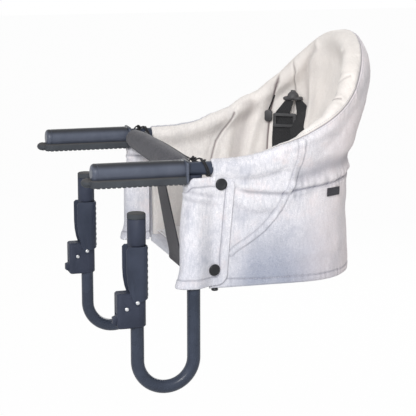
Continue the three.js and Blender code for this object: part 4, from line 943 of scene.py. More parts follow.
class SeatCover:
    """The sewn wall: up the outside, over the rim tube to the seam, and down the inside as lining."""

    def __init__(self):
        fine = np.linspace(-1, 1, 4001)
        reach = lengths(mirror(wall(1 - np.abs(fine), 0.6, 0), np.where(fine < 0, -1, 1)))
        c = np.interp(np.linspace(0, reach[-1], COLUMNS), reach, fine)
        c = (c - c[::-1]) / 2
        self.v = 1 - np.abs(c)
        self.sign = np.where(c < 0, -1.0, 1.0)
        self.arc = np.linspace(-reach[-1] / 2, reach[-1] / 2, COLUMNS)
        self.s = reach[-1] / 2 - np.abs(self.arc)
        self.height = rim(self.v)[:, 2] - BASE_Z
        self.out = np.column_stack([outward(self.v, RIM), np.zeros(COLUMNS)])
        self.out[:, 1] *= self.sign
        self.make()

    def line(self, pairs):
        """A line of (round, up) in millimetres from the front edge and up the wall."""
        v, t = along(pairs, 5 * len(pairs)).T
        half = slice(None, COLUMNS // 2 + 1)
        s = np.interp(v, self.v[half], self.s[half])
        return pack(s, t * np.interp(v, self.v[half], self.height[half]))

    def surface(self, rows, full=1.0):
        """Middle of the wall and its outward normal at evenly spaced heights."""
        t = np.linspace(0, 1, rows + 1)[:, None]
        p = mirror(wall(self.v[None, :], t, 0, full), self.sign)
        normal = facing(p)
        return t, p, normal * np.sign((normal * self.out).sum(-1, keepdims=True))

    def pinch(self, s, h):
        """Share of the thickness that is left near the front and bottom edges."""
        from_edge = np.minimum(s, h)
        return np.sqrt(np.clip(1 - (1 - np.clip(from_edge / EDGE_ROLL, 0, 1)) ** 2, 0.06, 1))

    def off(self, s, h, pairs):
        return line_distance(s, h, self.line(pairs))

    def folds(self, s, h, table):
        """What stands up, what lies deep and the painted shade along the lines of a table."""
        up, down, painted_shade = np.zeros((3,) + s.shape)
        for pairs, ridges, bands in table:
            d = self.off(s, h, pairs)
            for height, middle, width in ridges:
                side = up if height > 0 else down
                side += height * hump(d - middle, width)
            for strength, middle, width in bands:
                painted_shade += strength * hump(d - middle, width)
        return up, down, painted_shade

    def outer_relief(self, s, h, to_seam):
        """Height of seams, gathers and folds on the outside, and the painted shade in them."""
        arc = self.arc[None, :]
        bare = ease((s - FLAP_COVER) / FLAP_COVER_EDGE)
        d = self.off(s, h, FELLED_SEAM)
        pucker = ripple(arc, h, 9, 3) * hump(d, 9)
        edge = hump(np.abs(d) - FELL_HALF, 0.9)
        relief = (0.9 * ease((FELL_HALF - np.abs(d)) / 1.2) + 0.45 * pucker) * bare - 0.8 * edge
        crease_shade = 0.4 * edge + 0.08 * np.maximum(-pucker, 0)
        gather = ripple(arc, 0.25 * h, 10, 5) * hump(self.off(s, h, WAIST_SEAM) - 2, 15)
        relief += 1.2 * gather
        crease_shade += 0.26 * np.maximum(-gather, 0)
        d = self.off(s, h, HEM_STITCH)
        tuck = ripple(arc, 0 * h, 8, 7) * hump(d + 3, 7)
        relief += (0.7 * ease((1 - d) / 2) + 0.5 * tuck) * bare - 0.8 * hump(d, 1.2)
        crease_shade += 0.5 * hump(d, 1.1) + 0.15 * np.maximum(-tuck, 0)
        for table, share in ((OPEN_FOLDS, 1), (COVERED_FOLDS, bare)):
            up, down, painted_shade = self.folds(s, h, table)
            relief += up * bare + down
            crease_shade += painted_shade * share
        pull = 1.1 * ripple(0.35 * arc, h, 42, 11) + 0.4 * ripple(arc, 0.5 * h, 18, 12)
        pull += 0.14 * ripple(arc, h, 6, 13)
        relief += np.where(pull > 0, pull * bare, pull) * ease(h / 20)
        return no_deeper(relief, OUTER_DEPTH) * ease(to_seam / 8), crease_shade * ease(to_seam / 4)

    def inner_relief(self, s, h, to_seam):
        """The same for the lining: its panels and back seam stop on top of the rim."""
        arc = self.arc[None, :]
        on_top = 1 - ease((h - self.height - 6) / 12)
        d = self.off(s, h, PANEL_EDGE)
        relief = 2.4 * ease(d / 2.5) * (1 - ease(d / 42))
        relief = (relief + 0.7 * hump(np.abs(self.off(s, h, BACK_SEAM)) - 4, 2.5)) * on_top
        crease_shade = np.zeros(s.shape)
        for table, share in ((LINING_SEAMS, on_top), (LINING_FOLDS, 1), (PLEATS, self.sign < 0)):
            up, down, painted_shade = self.folds(s, h, table)
            relief += (up + down) * share
            crease_shade += painted_shade * share
        pull = 1.1 * ripple(arc, 0.35 * h, 34, 21) + 1.2 * ripple(0.5 * arc, h, 60, 22)
        relief += (pull + 0.2 * ripple(arc, h, 9, 23)) * ease(h / 25)
        return no_deeper(relief, LINING_DEPTH) * ease(to_seam / 9), crease_shade * ease(to_seam / 3)

    def profile(self):
        """Each column's section before it is sewn: places, normals, and lengths along it."""
        t_out, p_out, n_out = self.surface(OUTER_ROWS)
        t_in, p_in, n_in = self.surface(INNER_ROWS, 1 - LINING_FILL * ease((self.v - 0.62) / 0.25))
        top = p_out[-1]
        tangent = unit(np.gradient(top, axis=0))
        up = unit(p_out[-1] - p_out[-2])
        up = unit(up - tangent * (up * tangent).sum(-1, keepdims=True))
        inward = -n_in[-1]
        stop = np.arctan2((inward * up).sum(-1), (inward * n_out[-1]).sum(-1))
        share = np.linspace(0, 1, BEAD_ROWS + 1)[:, None]
        angle = share * stop
        radius = SLEEVE_R + (BEAD_R - SLEEVE_R) * self.pinch(self.s, 99)
        radius = radius + 0.35 * ripple(self.arc, 0, 24, 31)
        pad = smooth(np.interp(self.v, RIM_PAD_ROUND, RIM_PAD), 20)
        ray = np.cos(angle)[..., None] * n_out[-1] + np.sin(angle)[..., None] * up
        bead = top + (radius + pad * ease((share - 0.35) / 0.65))[..., None] * ray

        def swell(t, reach, extra):
            below = (1 - t) * self.height
            thick = WALL_T / 2 + (radius - WALL_T / 2) * (1 - ease(below / reach))
            return (thick + extra * (1 - ease(below / RIM_PAD_FALL))) * self.pinch(self.s, t * self.height)

        in_reach = mix(26, 110, ease((self.v - 0.66) / 0.2))
        outer = p_out[:-1] + n_out[:-1] * swell(t_out[:-1], RIM_SWELL, 0)[..., None]
        inner = (p_in - n_in * swell(t_in, in_reach, pad)[..., None])[-2::-1]
        places = np.concatenate([outer, bead, inner])
        normals = np.concatenate([n_out[:-1], ray, -n_in[-2::-1]])
        over = (radius + pad / 2) * stop
        down_inside = over + (1 - t_in[-2::-1]) * self.height
        reach = np.concatenate([(t_out[:-1] - 1) * self.height, share * over, down_inside]) + self.height
        seam = smooth(np.radians(np.interp(self.v, SEAM_ROUND, SEAM_ANGLE)), 12)
        return places, normals, reach, self.height + radius * seam

    def make(self):
        places, normals, reach, seam = self.profile()
        rows = np.concatenate(
            [
                np.linspace(0, 1, OUTER_ROWS + 1)[:-1, None] * (seam - SEAM_BAND),
                seam - SEAM_BAND * np.linspace(1, 0, SEAM_ROWS + 1)[:, None],
                seam + LINING_BAND * np.linspace(0, 1, LINING_ROWS + 1)[1:, None],
                mix(seam + LINING_BAND, reach[-1], np.linspace(0, 1, INNER_ROWS + 1)[1:, None]),
            ]
        )
        base = np.zeros(rows.shape + (3,))
        normal = np.zeros(rows.shape + (3,))
        for c in range(COLUMNS):
            for axis in range(3):
                base[:, c, axis] = np.interp(rows[:, c], reach[:, c], places[:, c, axis])
                normal[:, c, axis] = np.interp(rows[:, c], reach[:, c], normals[:, c, axis])
        normal = unit(normal)
        h_out = rows[: SEAM_ROW + 1]
        h_in = reach[-1] - rows[SEAM_ROW:]
        s_out = np.broadcast_to(self.s, h_out.shape)
        s_in = np.broadcast_to(self.s, h_in.shape)
        relief_out, painted_shade_out = self.outer_relief(s_out, h_out, seam - h_out)
        relief_in, painted_shade_in = self.inner_relief(s_in, h_in, h_in[0] - h_in)
        from_seam = np.abs(rows - seam)
        gather = ripple(self.arc[None, :], 0.3 * from_seam, 11, 33) * hump(from_seam - 6, 8)
        relief = np.concatenate([relief_out, relief_in[1:]]) - 1.1 * hump(from_seam, 1.7) + 0.5 * gather
        # Painted shade of the folds and seams, and along the groove of the rim seam
        painted_shade = np.concatenate([painted_shade_out, painted_shade_in[1:]]) + 0.85 * hump(from_seam, 1.0)
        fade = self.pinch(self.s, np.concatenate([h_out, h_in[1:]]))
        self.loop = base + normal * (relief * fade)[..., None]
        self.painted_shade = np.clip(painted_shade, 0, 1)
        self.rise = rows
        self.normal = facing(self.loop)

    def on_outside(self, pairs, sign, shift=0.0, count=260):
        """Points and normals of a line on the outside, moved sideways by that much."""
        line = along(self.line(pairs), count)
        way = unit(np.gradient(line, axis=0))
        s, h = (line + shift * pack(-way[:, 1], way[:, 0])).T
        half = np.arange(COLUMNS // 2 + 1)
        cols = np.interp(s, self.s[half], half)
        cols = cols if sign < 0 else COLUMNS - 1 - cols
        a = np.minimum(cols.astype(int), COLUMNS - 2)
        rise = mix(self.rise[:, a], self.rise[:, a + 1], cols - a)[: SEAM_ROW + 1]
        index = np.arange(SEAM_ROW + 1)
        rows = [np.interp(h[i], rise[:, i], index) for i in range(count)]
        return self.spots(cols, rows)

    def beside_seam(self, sign, shift):
        """Points and normals along the rim: below zero outside the seam, above zero on the lining."""
        cols = np.arange(4, COLUMNS // 2 + 1)
        cols = cols if sign < 0 else COLUMNS - 1 - cols
        index = np.arange(len(self.rise))
        rows = [np.interp(self.rise[SEAM_ROW, c] + shift, self.rise[:, c], index) for c in cols]
        return self.spots(cols, rows)

    def spots(self, cols, rows):
        """Points and normals at columns and rows that need not be whole numbers."""
        cols = np.asarray(cols)
        rows = np.asarray(rows)
        a = np.minimum(cols.astype(int), COLUMNS - 2)
        b = rows.astype(int)
        k = (cols - a)[:, None]
        low = mix(self.loop[b, a], self.loop[b, a + 1], k)
        high = mix(self.loop[b + 1, a], self.loop[b + 1, a + 1], k)
        return mix(low, high, (rows - b)[:, None]), self.normal[b, a]


cover = SeatCover()
cover_uv = pack(cover.arc, cover.rise)
lining = (np.arange(len(cover.loop) - 1) >= SEAM_ROW).astype(int)[:, None]
build = Build().grid(cover.loop, uv=cover_uv, kind=lining, tone=cover.painted_shade)
build.grid(np.stack([cover.loop[-1], cover.loop[0]]))
build.ladder(cover.loop[:, 0])
build.ladder(cover.loop[:, -1])
cloths = [outer_cloth, inner_cloth]
seat_cover = build.piece("seat_cover", cloths, "frame", "seat_fabric", ["seat_shell"], sharp=70)

build = Build()
for side, sign in SIDES:
    for pairs, shift in STITCHED:
        stitch_row(build, *cover.on_outside(pairs, sign, shift))
    for shift in (-RIM_STITCH, RIM_STITCH):
        stitch_row(build, *cover.beside_seam(sign, shift))
build.piece("seat_stitching", thread_look, "frame", "seat_fabric", sharp=60)


# Base board and cushion

def base_outline(inset, front_x, count=60):
    v = np.concatenate([np.linspace(0, 1, count), np.linspace(1, 0, count)[1:]])
    sign = np.concatenate([np.ones(count), -np.ones(count - 1)])
    at = plan(v, **BASE) - inset * outward(v, BASE)
    at[:, 1] *= sign
    half = BASE["half"] - inset
    front = pack(front_x, np.linspace(-half, half, 24))
    return np.vstack([at[1:-1], front])


def quarter_round(radius, steps):
    """Inset and rise of points round a quarter circle, from its foot up to its side."""
    angles = np.linspace(0, math.pi / 2, steps + 1)
    return [(radius * (1 - math.sin(a)), radius * (1 - math.cos(a))) for a in angles]


def slab_edges(z0, z1, edge, steps):
    """Inset and height of the rings of a slab with rounded edges."""
    rings = quarter_round(edge, steps)
    return [(inset, z0 + rise) for inset, rise in rings] + [(inset, z1 - rise) for inset, rise in rings[::-1]]


def rounded(outline, z0, z1, edge):
    """Rings of a slab with rounded edges over an outline."""
    direction = unit(outline - outline.mean(0))
    flat = np.ones(len(outline))
    return np.array(
        [np.column_stack([outline - direction * inset, flat * z]) for inset, z in slab_edges(z0, z1, edge, 6)]
    )


def disc(ring, shares, lift=None):
    """Rings from an outer ring in to its middle, raised by lift(share)."""
    middle = ring.mean(0)
    rings = np.array([middle + (ring - middle) * share for share in shares])
    if lift:
        rings[..., 2] += np.array([lift(share) for share in shares])[:, None]
    return rings


def slab(rings, top_lift=None, bottom_lift=None):
    shares = np.linspace(1, 0.02, 40)
    top = disc(rings[-1], shares, top_lift)
    bottom = disc(rings[0], shares, bottom_lift)
    build = Build()
    for part in (rings, top, bottom):
        build.grid(part, wrap_cols=True)
    return build.cap(top[-1]).cap(bottom[-1])


def vertices_of(obj):
    flat = np.empty(len(obj.data.vertices) * 3)
    obj.data.vertices.foreach_get("co", flat)
    return flat.reshape(-1, 3)


def swell_cloth(obj):
    """Blows a closed mesh up a little as stuffed cloth and keeps the result; its underside stays flat."""
    set_up(obj.modifiers.new("voxels", "REMESH"), mode="VOXEL", voxel_size=CLOTH_VOXEL)
    take_shape(obj)
    rest = vertices_of(obj)
    cloth = obj.modifiers.new("stuffing", "CLOTH")
    set_up(cloth.settings, quality=CLOTH_QUALITY, mass=CLOTH_MASS)
    set_up(cloth.settings, use_pressure=True, uniform_pressure_force=CLOTH_PRESSURE)
    cloth.settings.effector_weights.gravity = 0
    cloth.collision_settings.use_collision = False
    for number in range(1, CLOTH_FRAMES + 1):
        scene.frame_set(number)
    take_shape(obj)
    scene.frame_set(1)
    move = vertices_of(obj) - rest
    far = np.linalg.norm(move, axis=1, keepdims=True)
    now = rest + move * np.minimum(1, CLOTH_SWELL / np.maximum(far, 1e-9))
    now[:, 2] = np.maximum(now[:, 2], CUSHION_Z * MM)
    obj.data.vertices.foreach_set("co", now.ravel())
    obj.data.update()
    obj.modifiers.new("smooth", "SUBSURF").levels = 1


def take_shape(obj):
    """Puts the modifiers' result into the mesh and drops them."""
    graph = bpy.context.evaluated_depsgraph_get()
    result = bpy.data.meshes.new_from_object(obj.evaluated_get(graph))
    materials = list(obj.data.materials)
    obj.modifiers.clear()
    obj.data = result
    result.materials.clear()
    for material in materials:
        result.materials.append(material)
    shade(result, None)


base_line = base_outline(WALL_T / 2 + CLEARANCE, BASE_FRONT_X)
base_rings = rounded(base_line, BASE_BOTTOM_Z, BASE_BOTTOM_Z + BASE_T, BASE_EDGE)
board = slab(base_rings, bottom_lift=lambda share: BASE_WELT * hump(share - 0.93, 0.012))
board.piece("seat_board", outer_cloth, "frame", "seat_fabric", ["seat_base"], sharp=60)

cushion_line = base_outline(WALL_T / 2 + CUSHION_INSET, CUSHION_FRONT_X + 1)
cushion_rings = rounded(cushion_line, CUSHION_Z, CUSHION_Z + CUSHION_T - 1, CUSHION_EDGE)
cushion = slab(cushion_rings, top_lift=lambda share: CUSHION_CROWN * (1 - share**2))
seat_cushion = cushion.piece("seat_cushion", pad_cloth, "frame", "seat_fabric", ["seat_pad"], sharp=60)
swell_cloth(seat_cushion)
piping = np.column_stack([cushion_line, np.full(len(cushion_line), CUSHION_Z + 0.5 * CUSHION_T)])
piping = piping + unit(piping - piping.mean(0)) * PIPING_OUT
piping_rings = swept(np.vstack([piping[-3:], piping, piping[:3]]), PIPING_R, 10)[3:-3]
Build().grid(piping_rings, wrap_rows=True, wrap_cols=True).piece(
    "seat_cushion_piping", pad_cloth, "frame", "seat_fabric", sharp=60
)


# Bumper roll

def bumper_roll():
    ends = np.linspace(0, 0.06, 16)
    share = np.concatenate([ends, np.linspace(0.06, 0.94, 130)[1:-1], 1 - ends[::-1]])
    place = 2 * share - 1
    y = (place * ROLL_HALF_LENGTH)[:, None]
    angle = circle(84)[None, :]
    swell = mix(ROLL_END_R, ROLL_MID_R, 1 - place**2)
    close = mix(0.66, 1, np.sqrt(np.maximum(1 - np.abs(place) ** 26, 0)))
    from_end = ROLL_HALF_LENGTH - np.abs(y)
    pleats = np.cos(13 * angle + 0.8 * np.sin(3 * angle))
    radius = (swell * close)[:, None] + 0.6 * pleats * hump(from_end, 13) * ease(from_end / 3)
    radius = radius + 0.3 * ripple(y, 15 * angle, 60, 41) + 0.1 * ripple(y, 15 * angle, 16, 42)
    seam = np.angle(np.exp(1j * (angle - math.radians(300)))) * ROLL_MID_R
    radius = radius - 0.9 * hump(seam, 1.6)
    # Painted shade in the seam's groove and between the pleats near the ends
    painted_shade = 0.6 * hump(seam, 1.2) + 0.3 * np.maximum(-pleats, 0) * hump(from_end, 10) + 0 * y
    p = pack(ROLL_X + radius * np.cos(angle), y, ROLL_Z + radius * np.sin(angle))
    build = Build().grid(p, wrap_cols=True, tone=painted_shade)
    for ring, sign in ((p[0], -1), (p[-1], 1)):
        tuck = disc(ring, np.linspace(1, 0.75, 5))
        tuck[..., 1] -= sign * np.linspace(0, 2.4, 5)[:, None]
        build.grid(tuck, wrap_cols=True).cap(tuck[-1])
    return build.piece("bumper_cushion", roll_cloth, "frame", "roll_fabric", ["bumper_roll"], sharp=60)


bumper_roll()


# Flaps

def wall_share(z):
    return (z - BASE_Z) / (ARM_AXIS_Z - BASE_Z)


def flap_out(x, z):
    at = wall(np.zeros_like(z), wall_share(z), WALL_T / 2 + 2 * CLEARANCE + FLAP_T / 2)
    return mix(FLAP_R, at[..., 1] - HALF_SPAN, ease(x / FLAP_LAND_X))


def corner_drop(from_hem, radius):
    into = np.clip(radius - from_hem, 0, radius)
    return radius - np.sqrt(radius**2 - into**2)


class Flap:
    """Middle surface of a flap, p[row, column], with each point's distances from its edges."""

    def __init__(self):
        down = np.linspace(0, 1, 110)[:, None]
        share = np.concatenate([np.linspace(0, 0.7, 36), np.linspace(0.7, 1, 40)[1:]])[None, :]
        from_hem = (1 - share) * FLAP_HEM_X
        rear_top = mix(FLAP_TUCK, FLAP_TOP_Z + FLAP_RISE, ease((share - 0.35) / 0.3))
        top = rear_top - corner_drop(from_hem, FLAP_TOP_CORNER)
        bottom = FLAP_BOTTOM_Z + corner_drop(from_hem, FLAP_BOTTOM_CORNER)
        z = mix(top, bottom, down)
        x = share * (FLAP_HEM_X - FLAP_HEM_TAPER * down)
        rear = pack(x, flap_out(x, z), z)
        angle = np.linspace(0, math.pi, 48)[None, :-1]
        reach = FLAP_R + FLAP_WAIST * ease(2 * down) + FLAP_FLARE * ease((down - 0.8) / 0.2)
        bend_top = FLAP_TOP_Z + (FLAP_TUCK - FLAP_TOP_Z) * ease((angle - 2.1) / 0.8)
        bend_z = mix(bend_top, FLAP_BOTTOM_Z, down)
        bend = pack(-reach * np.sin(angle), -FLAP_R * np.cos(angle), bend_z)
        leg_x = np.linspace(FLAP_INNER_X, 0, 14)[None, :-1]
        leg = pack(leg_x, -FLAP_R, mix(FLAP_TOP_Z, FLAP_BOTTOM_Z, down))
        self.mid = np.concatenate([leg, bend, rear], 1)
        cols = leg.shape[1] + bend.shape[1]
        steps = np.linalg.norm(np.diff(self.mid, axis=1), axis=2)
        self.length = np.concatenate([np.zeros((len(down), 1)), np.cumsum(steps, axis=1)], 1)
        self.hem = np.full(self.mid.shape[:2], 99.0)
        self.hem[:, cols:] = (1 - share) * (FLAP_HEM_X - FLAP_HEM_TAPER * down)
        tops = np.concatenate([FLAP_TOP_Z + 0 * leg_x, bend_top, top], 1)
        bottoms = np.concatenate([FLAP_BOTTOM_Z + 0 * leg_x, FLAP_BOTTOM_Z + 0 * angle, bottom], 1)
        self.top = tops - self.mid[..., 2]
        self.bottom = self.mid[..., 2] - bottoms
        self.normal = facing(self.mid)
        self.first = cols
        # Distance from the nearest sewn edge: round the corners it follows the outline.
        outline = np.concatenate([self.mid[0, cols:], self.mid[:, -1], self.mid[-1, cols:][::-1]])[:, [0, 2]]
        self.edge = np.abs(line_distance(self.mid[..., 0], self.mid[..., 2], outline))
        self.edge[:, :cols] = np.minimum(self.top, self.bottom)[:, :cols]

    def faces(self, sign):
        """Outside and back of one flap, and the painted shade in its folds and along its hem."""
        x, z = self.mid[..., 0], self.mid[..., 2]
        calm = ease(self.hem / 16) * ease(self.top / 9) * ease(self.bottom / 12)
        fold = 0.8 * ripple(0.5 * self.length, z, 38, 51 + sign)
        fold += 0.25 * ripple(self.length, z, 13, 53 + sign)
        fall = hump((self.length - 60) - 0.15 * z, 8)
        left = 1 - ease((x - 18) / 22)
        folds = sum(hump(z + low + 0.28 * x, 3.2) for low in (7, 19)) * left
        valleys = sum(hump(z + low + 0.28 * x, 2.4) for low in (13, 25)) * left
        lie = (fold - 1.2 * fall + 1.6 * folds - 1.0 * valleys) * calm
        lie = np.maximum(lie, -0.4)
        band = self.edge - FLAP_BAND
        raised = 0.55 * ease(-band / 1.4) - 0.6 * hump(band - 0.5, 1.0)
        end = np.minimum(self.edge, 1.3) / 1.3
        roll = np.sqrt(np.clip(1 - (1 - end) ** 2, 0.05, 1))
        # Painted shade at the hem band's groove, at the very edge and in the fold valleys
        painted_shade = 0.5 * hump(band - 0.4, 1.1) + 0.3 * (1 - ease(self.edge / 1.2))
        painted_shade += 0.22 * (valleys + fall) * calm
        place = np.array([0, HALF_SPAN, 0])
        out = self.mid + self.normal * (lie + (FLAP_T / 2 * 0.86 + raised) * roll)[..., None] + place
        inn = self.mid + self.normal * (lie - FLAP_T / 2 * 0.8 * roll)[..., None] + place
        return mirror(out, sign), mirror(inn, sign), np.clip(painted_shade, 0, 1)

    def stitches(self, face, sign):
        """Points on the outside along the stitch line inside the hem."""
        points, ups = [], []
        for i in range(6, len(face) - 6):
            edge = self.edge[i, self.first :]
            j = self.first + int(np.interp(FLAP_STITCH - FLAP_BAND, -edge, np.arange(len(edge))))
            if min(self.top[i, j], self.bottom[i, j]) > FLAP_BAND - 2:
                points.append(face[i, j])
                ups.append(mirror(self.normal[i, j], sign))
        return np.array(points), np.array(ups)


flap = Flap()
for side, sign in SIDES:
    face, back, painted_shade = flap.faces(sign)
    uv = pack(flap.length, -flap.mid[..., 2])
    build = Build().grid(face, uv=uv, tone=painted_shade).grid(back, uv=uv)
    build.grid(np.stack([face[0], back[0]])).grid(np.stack([face[-1], back[-1]]))
    build.grid(np.stack([face[:, 0], back[:, 0]])).grid(np.stack([face[:, -1], back[:, -1]]))
    piece = build.piece(f"{side}_side_flap", outer_cloth, "frame", "seat_fabric", [f"{side}_flap"], sharp=60)
    thread = Build()
    stitch_row(thread, *flap.stitches(face, sign))
    sewn = thread.piece(f"{side}_flap_stitching", thread_look, "frame", "seat_fabric", sharp=60)
    width = float(flap.length.max()) * MM


# Straps

def strap(points, across, widths, count=90, extra=None):
    """A closed band with rounded edges along a route; extra widens it on one side."""
    route = along(points, count)
    reach = np.linspace(0, 1, count)
    knots = lengths(np.asarray(points, float))
    at = reach * knots[-1]
    width = np.interp(at, knots, widths)
    more = np.interp(at, knots, extra) if extra else np.zeros(count)
    tangent = unit(np.gradient(route, axis=0))
    side = np.broadcast_to(np.asarray(across, float), route.shape)
    side = unit(side - tangent * (side * tangent).sum(1, keepdims=True))
    normal = np.cross(tangent, side)
    turn = circle(40)
    w = np.sign(np.cos(turn)) * np.abs(np.cos(turn)) ** 0.22
    h = np.sign(np.sin(turn)) * np.abs(np.sin(turn)) ** 0.35
    thick = h * (1 + 0.12 * hump(np.abs(w) - 0.93, 0.06)) * WEB_T / 2
    over = w[None, :] * width[:, None] / 2 - np.where(w < 0, -w, 0)[None, :] * more[:, None]
    p = route[:, None] + side[:, None] * over[..., None] + normal[:, None] * thick[:, None]
    u = np.concatenate([over, over[:, :1]], 1)
    return Build().spool(p, uv=pack(u, at[:, None]))


for side, sign in SIDES:
    for name, turn, points, widths, spread in HARNESS:
        across = (math.cos(turn), -sign * math.sin(turn), 0)
        band = strap(mirror(points, sign), across, widths, extra=spread)
        band.piece(f"{side}_{name}_webbing", web, "frame", "webbing", [f"{side}_{name}_strap"], sharp=50)

bend = CROTCH_BEND + CLEARANCE + WEB_T / 2
bend_x, bend_z = BASE_FRONT_X + CROTCH_BEND, BASE_BOTTOM_Z + CROTCH_BEND
crotch_route = [(bend_x + reach, 0, bend_z - bend) for reach in CROTCH_UNDER]
for a in np.linspace(0, math.pi / 2, 7):
    crotch_route.append((bend_x - bend * math.sin(a), 0, bend_z - bend * math.cos(a)))
foot = np.array([bend_x - bend, 0, BASE_BOTTOM_Z + BASE_T])
head = np.array([ROLL_X, 0, ROLL_Z - ROLL_MID_R - CLEARANCE])
crotch_route += [tuple(mix(foot, head, k / 8)) for k in range(9)]
risen = [float(ease((p[2] - foot[2]) / (head[2] - foot[2]))) for p in crotch_route]
crotch_widths = [mix(CROTCH_LOW_W, CROTCH_TOP_W, k) for k in risen]
strap(crotch_route, (0, 1, 0), crotch_widths, 140).piece(
    "crotch_webbing", strap_web, "frame", "webbing", ["crotch_strap"], sharp=50
)


# Tubes, grips and rigid pieces

half_rim = rim(np.linspace(0, 1, 160))
arm = pack(np.linspace(HOOP_FRONT_X, RIM["front"] - 1, 24), HALF_SPAN, ARM_AXIS_Z)
half_hoop = np.vstack([arm, half_rim])
hoop = np.vstack([mirror(half_hoop, -1), half_hoop[-2::-1]])
tube(hoop, TUBE_R, 40).piece("hoop_tubing", tube_paint, "frame", "tube", ["hoop_tube"])


def hook_route():
    angle = np.linspace(0, math.pi, 48)
    bend = pack(-HOOK_R + HOOK_R * np.cos(angle), 0, BEND_Z - HOOK_R * np.sin(angle))
    rear = pack(0, 0, np.linspace(UPRIGHT_TOP_Z, BEND_Z + 6, 20))
    front = pack(-HOOK_PITCH, 0, np.linspace(BEND_Z + 6, FRONT_UPRIGHT_TOP_Z, 16))
    return np.vstack([rear, bend, front])


def arm_grip(side, sign):
    """A turned sleeve with an end-cap line, and a rounded flange behind it."""
    length = GRIP_REAR_X - FLANGE_T - GRIP_FRONT_X
    cap_line = GRIP_DOME + GRIP_CAP_LINE
    profile = [(AXIS_R, 0.0)]
    profile += [(GRIP_R - inset, rise) for inset, rise in quarter_round(GRIP_DOME, 9)]
    profile += [(GRIP_R - depth, cap_line + x) for depth, x in GRIP_GROOVE]
    profile += [(GRIP_R, x) for x in np.linspace(cap_line + 2, length - 1, 14)]
    profile += [(GRIP_R - 0.4, length + 0.5), (AXIS_R, length + 0.5)]
    build = Build().spool(turned(profile, 64, (GRIP_FRONT_X, sign * HALF_SPAN, ARM_AXIS_Z), (1, 0, 0)))
    top = ARM_AXIS_Z + GRIP_R + CLEARANCE
    bottom = 2 * CLEARANCE
    half_w, half_h = PAD_W / 2 - FLANGE_CORNER, (top - bottom) / 2 - FLANGE_CORNER
    turn = circle(48)
    y = np.sign(np.cos(turn)) * half_w + FLANGE_CORNER * np.cos(turn)
    z = np.sign(np.sin(turn)) * half_h + FLANGE_CORNER * np.sin(turn)
    outline = pack(0, y, z)
    stack = []
    for inset, depth in slab_edges(0, FLANGE_T, FLANGE_EDGE, 4):
        shrink = 1 - inset / np.abs(outline[:, 1:]).max(0)
        middle = (GRIP_REAR_X - FLANGE_T + depth, sign * HALF_SPAN, (top + bottom) / 2)
        stack.append(outline * [1, *shrink] + middle)
    build.spool(np.array(stack))
    build.piece(f"{side}_grip_sleeve", satin, "frame", "grip_plastic", [f"{side}_arm_grip"], sharp=45)


SNAP_R = 8.5
SNAP_H = 3
HEM_SNAP_R = 5
BEVEL_ANGLE = 35
# Radius and height, as shares of the cap's own
SNAP_PROFILE = [
    (0.02, 0.76), (0.25, 0.77), (0.44, 0.8), (0.55, 0.88), (0.64, 0.97), (0.74, 1.0), (0.85, 0.98),
    (0.94, 0.86), (0.99, 0.66), (1.0, 0.42), (0.97, 0.24), (0.93, 0.1), (0.9, 0.0), (0.02, 0.0),
]


def middle_of(node):
    low, high = (np.array(corner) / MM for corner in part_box(node))
    return (low + high) / 2


def snap_cap(node, radius, axis):
    """A dished cap with a rounded rim, where the solid that it stands for sits."""
    axis = unit(np.asarray(axis, float))
    at = middle_of(node) - axis * SNAP_H / 2
    build = Build().spool(turned(np.array(SNAP_PROFILE) * [radius, SNAP_H], 48, at, axis))
    build.piece(f"{node}_cap", snap_plastic, "frame", "snap_plastic", [node], sharp=50)


def flap_facing(node):
    """Outward direction of the flap behind a snap, y > 0 side."""
    x, _, z = middle_of(node)
    step = np.array([-SNAP_R, SNAP_R])
    over_x = np.diff(flap_out(x + step, z + 0 * step))[0]
    over_z = np.diff(flap_out(x + 0 * step, z + step))[0]
    return np.array([-over_x / (2 * SNAP_R), 1, -over_z / (2 * SNAP_R)])


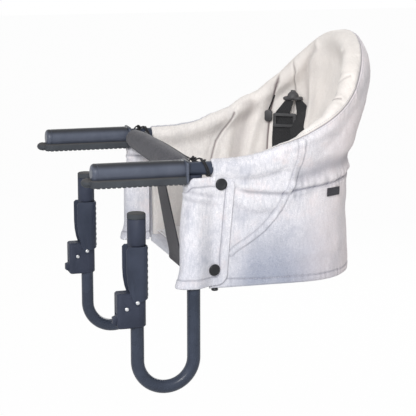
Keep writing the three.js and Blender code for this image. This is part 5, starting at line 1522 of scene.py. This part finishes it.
def dress(node, material, body, width, join=True):
    """A CAD solid again, its flat faces joined (not where they are thin rings) and its edges rounded."""
    mesh = nodes[node].data.copy()
    bm = bmesh.new()
    bm.from_mesh(mesh)
    bm.transform(nodes[node].matrix_world)
    bmesh.ops.remove_doubles(bm, verts=bm.verts, dist=WELD)
    if join:
        bmesh.ops.dissolve_limit(bm, angle_limit=math.radians(1), verts=bm.verts, edges=bm.edges)
    bmesh.ops.recalc_face_normals(bm, faces=bm.faces)
    bm.to_mesh(mesh)
    bm.free()
    shade(mesh, None)
    obj = keep(f"{node}_finish", mesh, material, body, [node])
    bevel = set_up(obj.modifiers.new("edges", "BEVEL"), width=width * MM, segments=2, harden_normals=True)
    set_up(bevel, limit_method="ANGLE", angle_limit=math.radians(BEVEL_ANGLE))


# Solids of each side: name, look, body, slot, width of the rounded edge, whether its flat faces are joined
SIDE_SOLIDS = [
    ("arm_pad", rubber, "frame", "rubber", 0.5, True),
    ("arm_socket", matte, "frame", "dark_plastic", 0.5, False),
    ("clamp_outer_half", matte, "clamp", "dark_plastic", 0.6, True),
    ("lever_outer_rivet", steel, "clamp", "rivet_steel", 0.2, True),
    ("clamp_inner_half", matte, "clamp", "dark_plastic", 0.6, True),
    ("lever_inner_rivet", steel, "clamp", "rivet_steel", 0.2, True),
    ("foot_post", matte, "clamp", "dark_plastic", 0.6, False),
    ("foot_pad", rubber, "clamp", "rubber", 0.6, True),
    ("pawl_rivet", steel, "clamp", "rivet_steel", 0.2, True),
    ("lever", lever_plastic, "lever", "grip_plastic", 0.35, True),
    ("release_pawl", matte, "release", "dark_plastic", 0.5, True),
    ("adjuster", harness_plastic, "frame", "dark_plastic", 0.5, True),
]
for side, sign in SIDES:
    tube(hook_route() + [0, sign * HALF_SPAN, 0], TUBE_R, 44).piece(
        f"{side}_hook_tubing", tube_paint, f"{side}_hook", "tube", [f"{side}_hook_tube"]
    )
    arm_grip(side, sign)
    for name, look, body, slot, width, join in SIDE_SOLIDS:
        dress(f"{side}_{name}", look, body if body == "frame" else f"{side}_{body}", width, join)
    for name in ("upper_snap", "lower_snap"):
        snap_cap(f"{side}_{name}", SNAP_R, mirror(flap_facing(f"{side}_{name}"), sign))
    snap_cap(f"{side}_hem_snap", HEM_SNAP_R, (0, 0, -1))
for node in ("buckle_body", "buckle_tongue", "right_clip"):
    dress(node, harness_plastic, "frame", 0.5, join=False)
dress("buckle_button", harness_plastic, "buckle_button", 0.6)
dress("cross_tube", tube_paint, "frame", 0.3)
dress("side_tag", strap_web, "frame", 0.3)
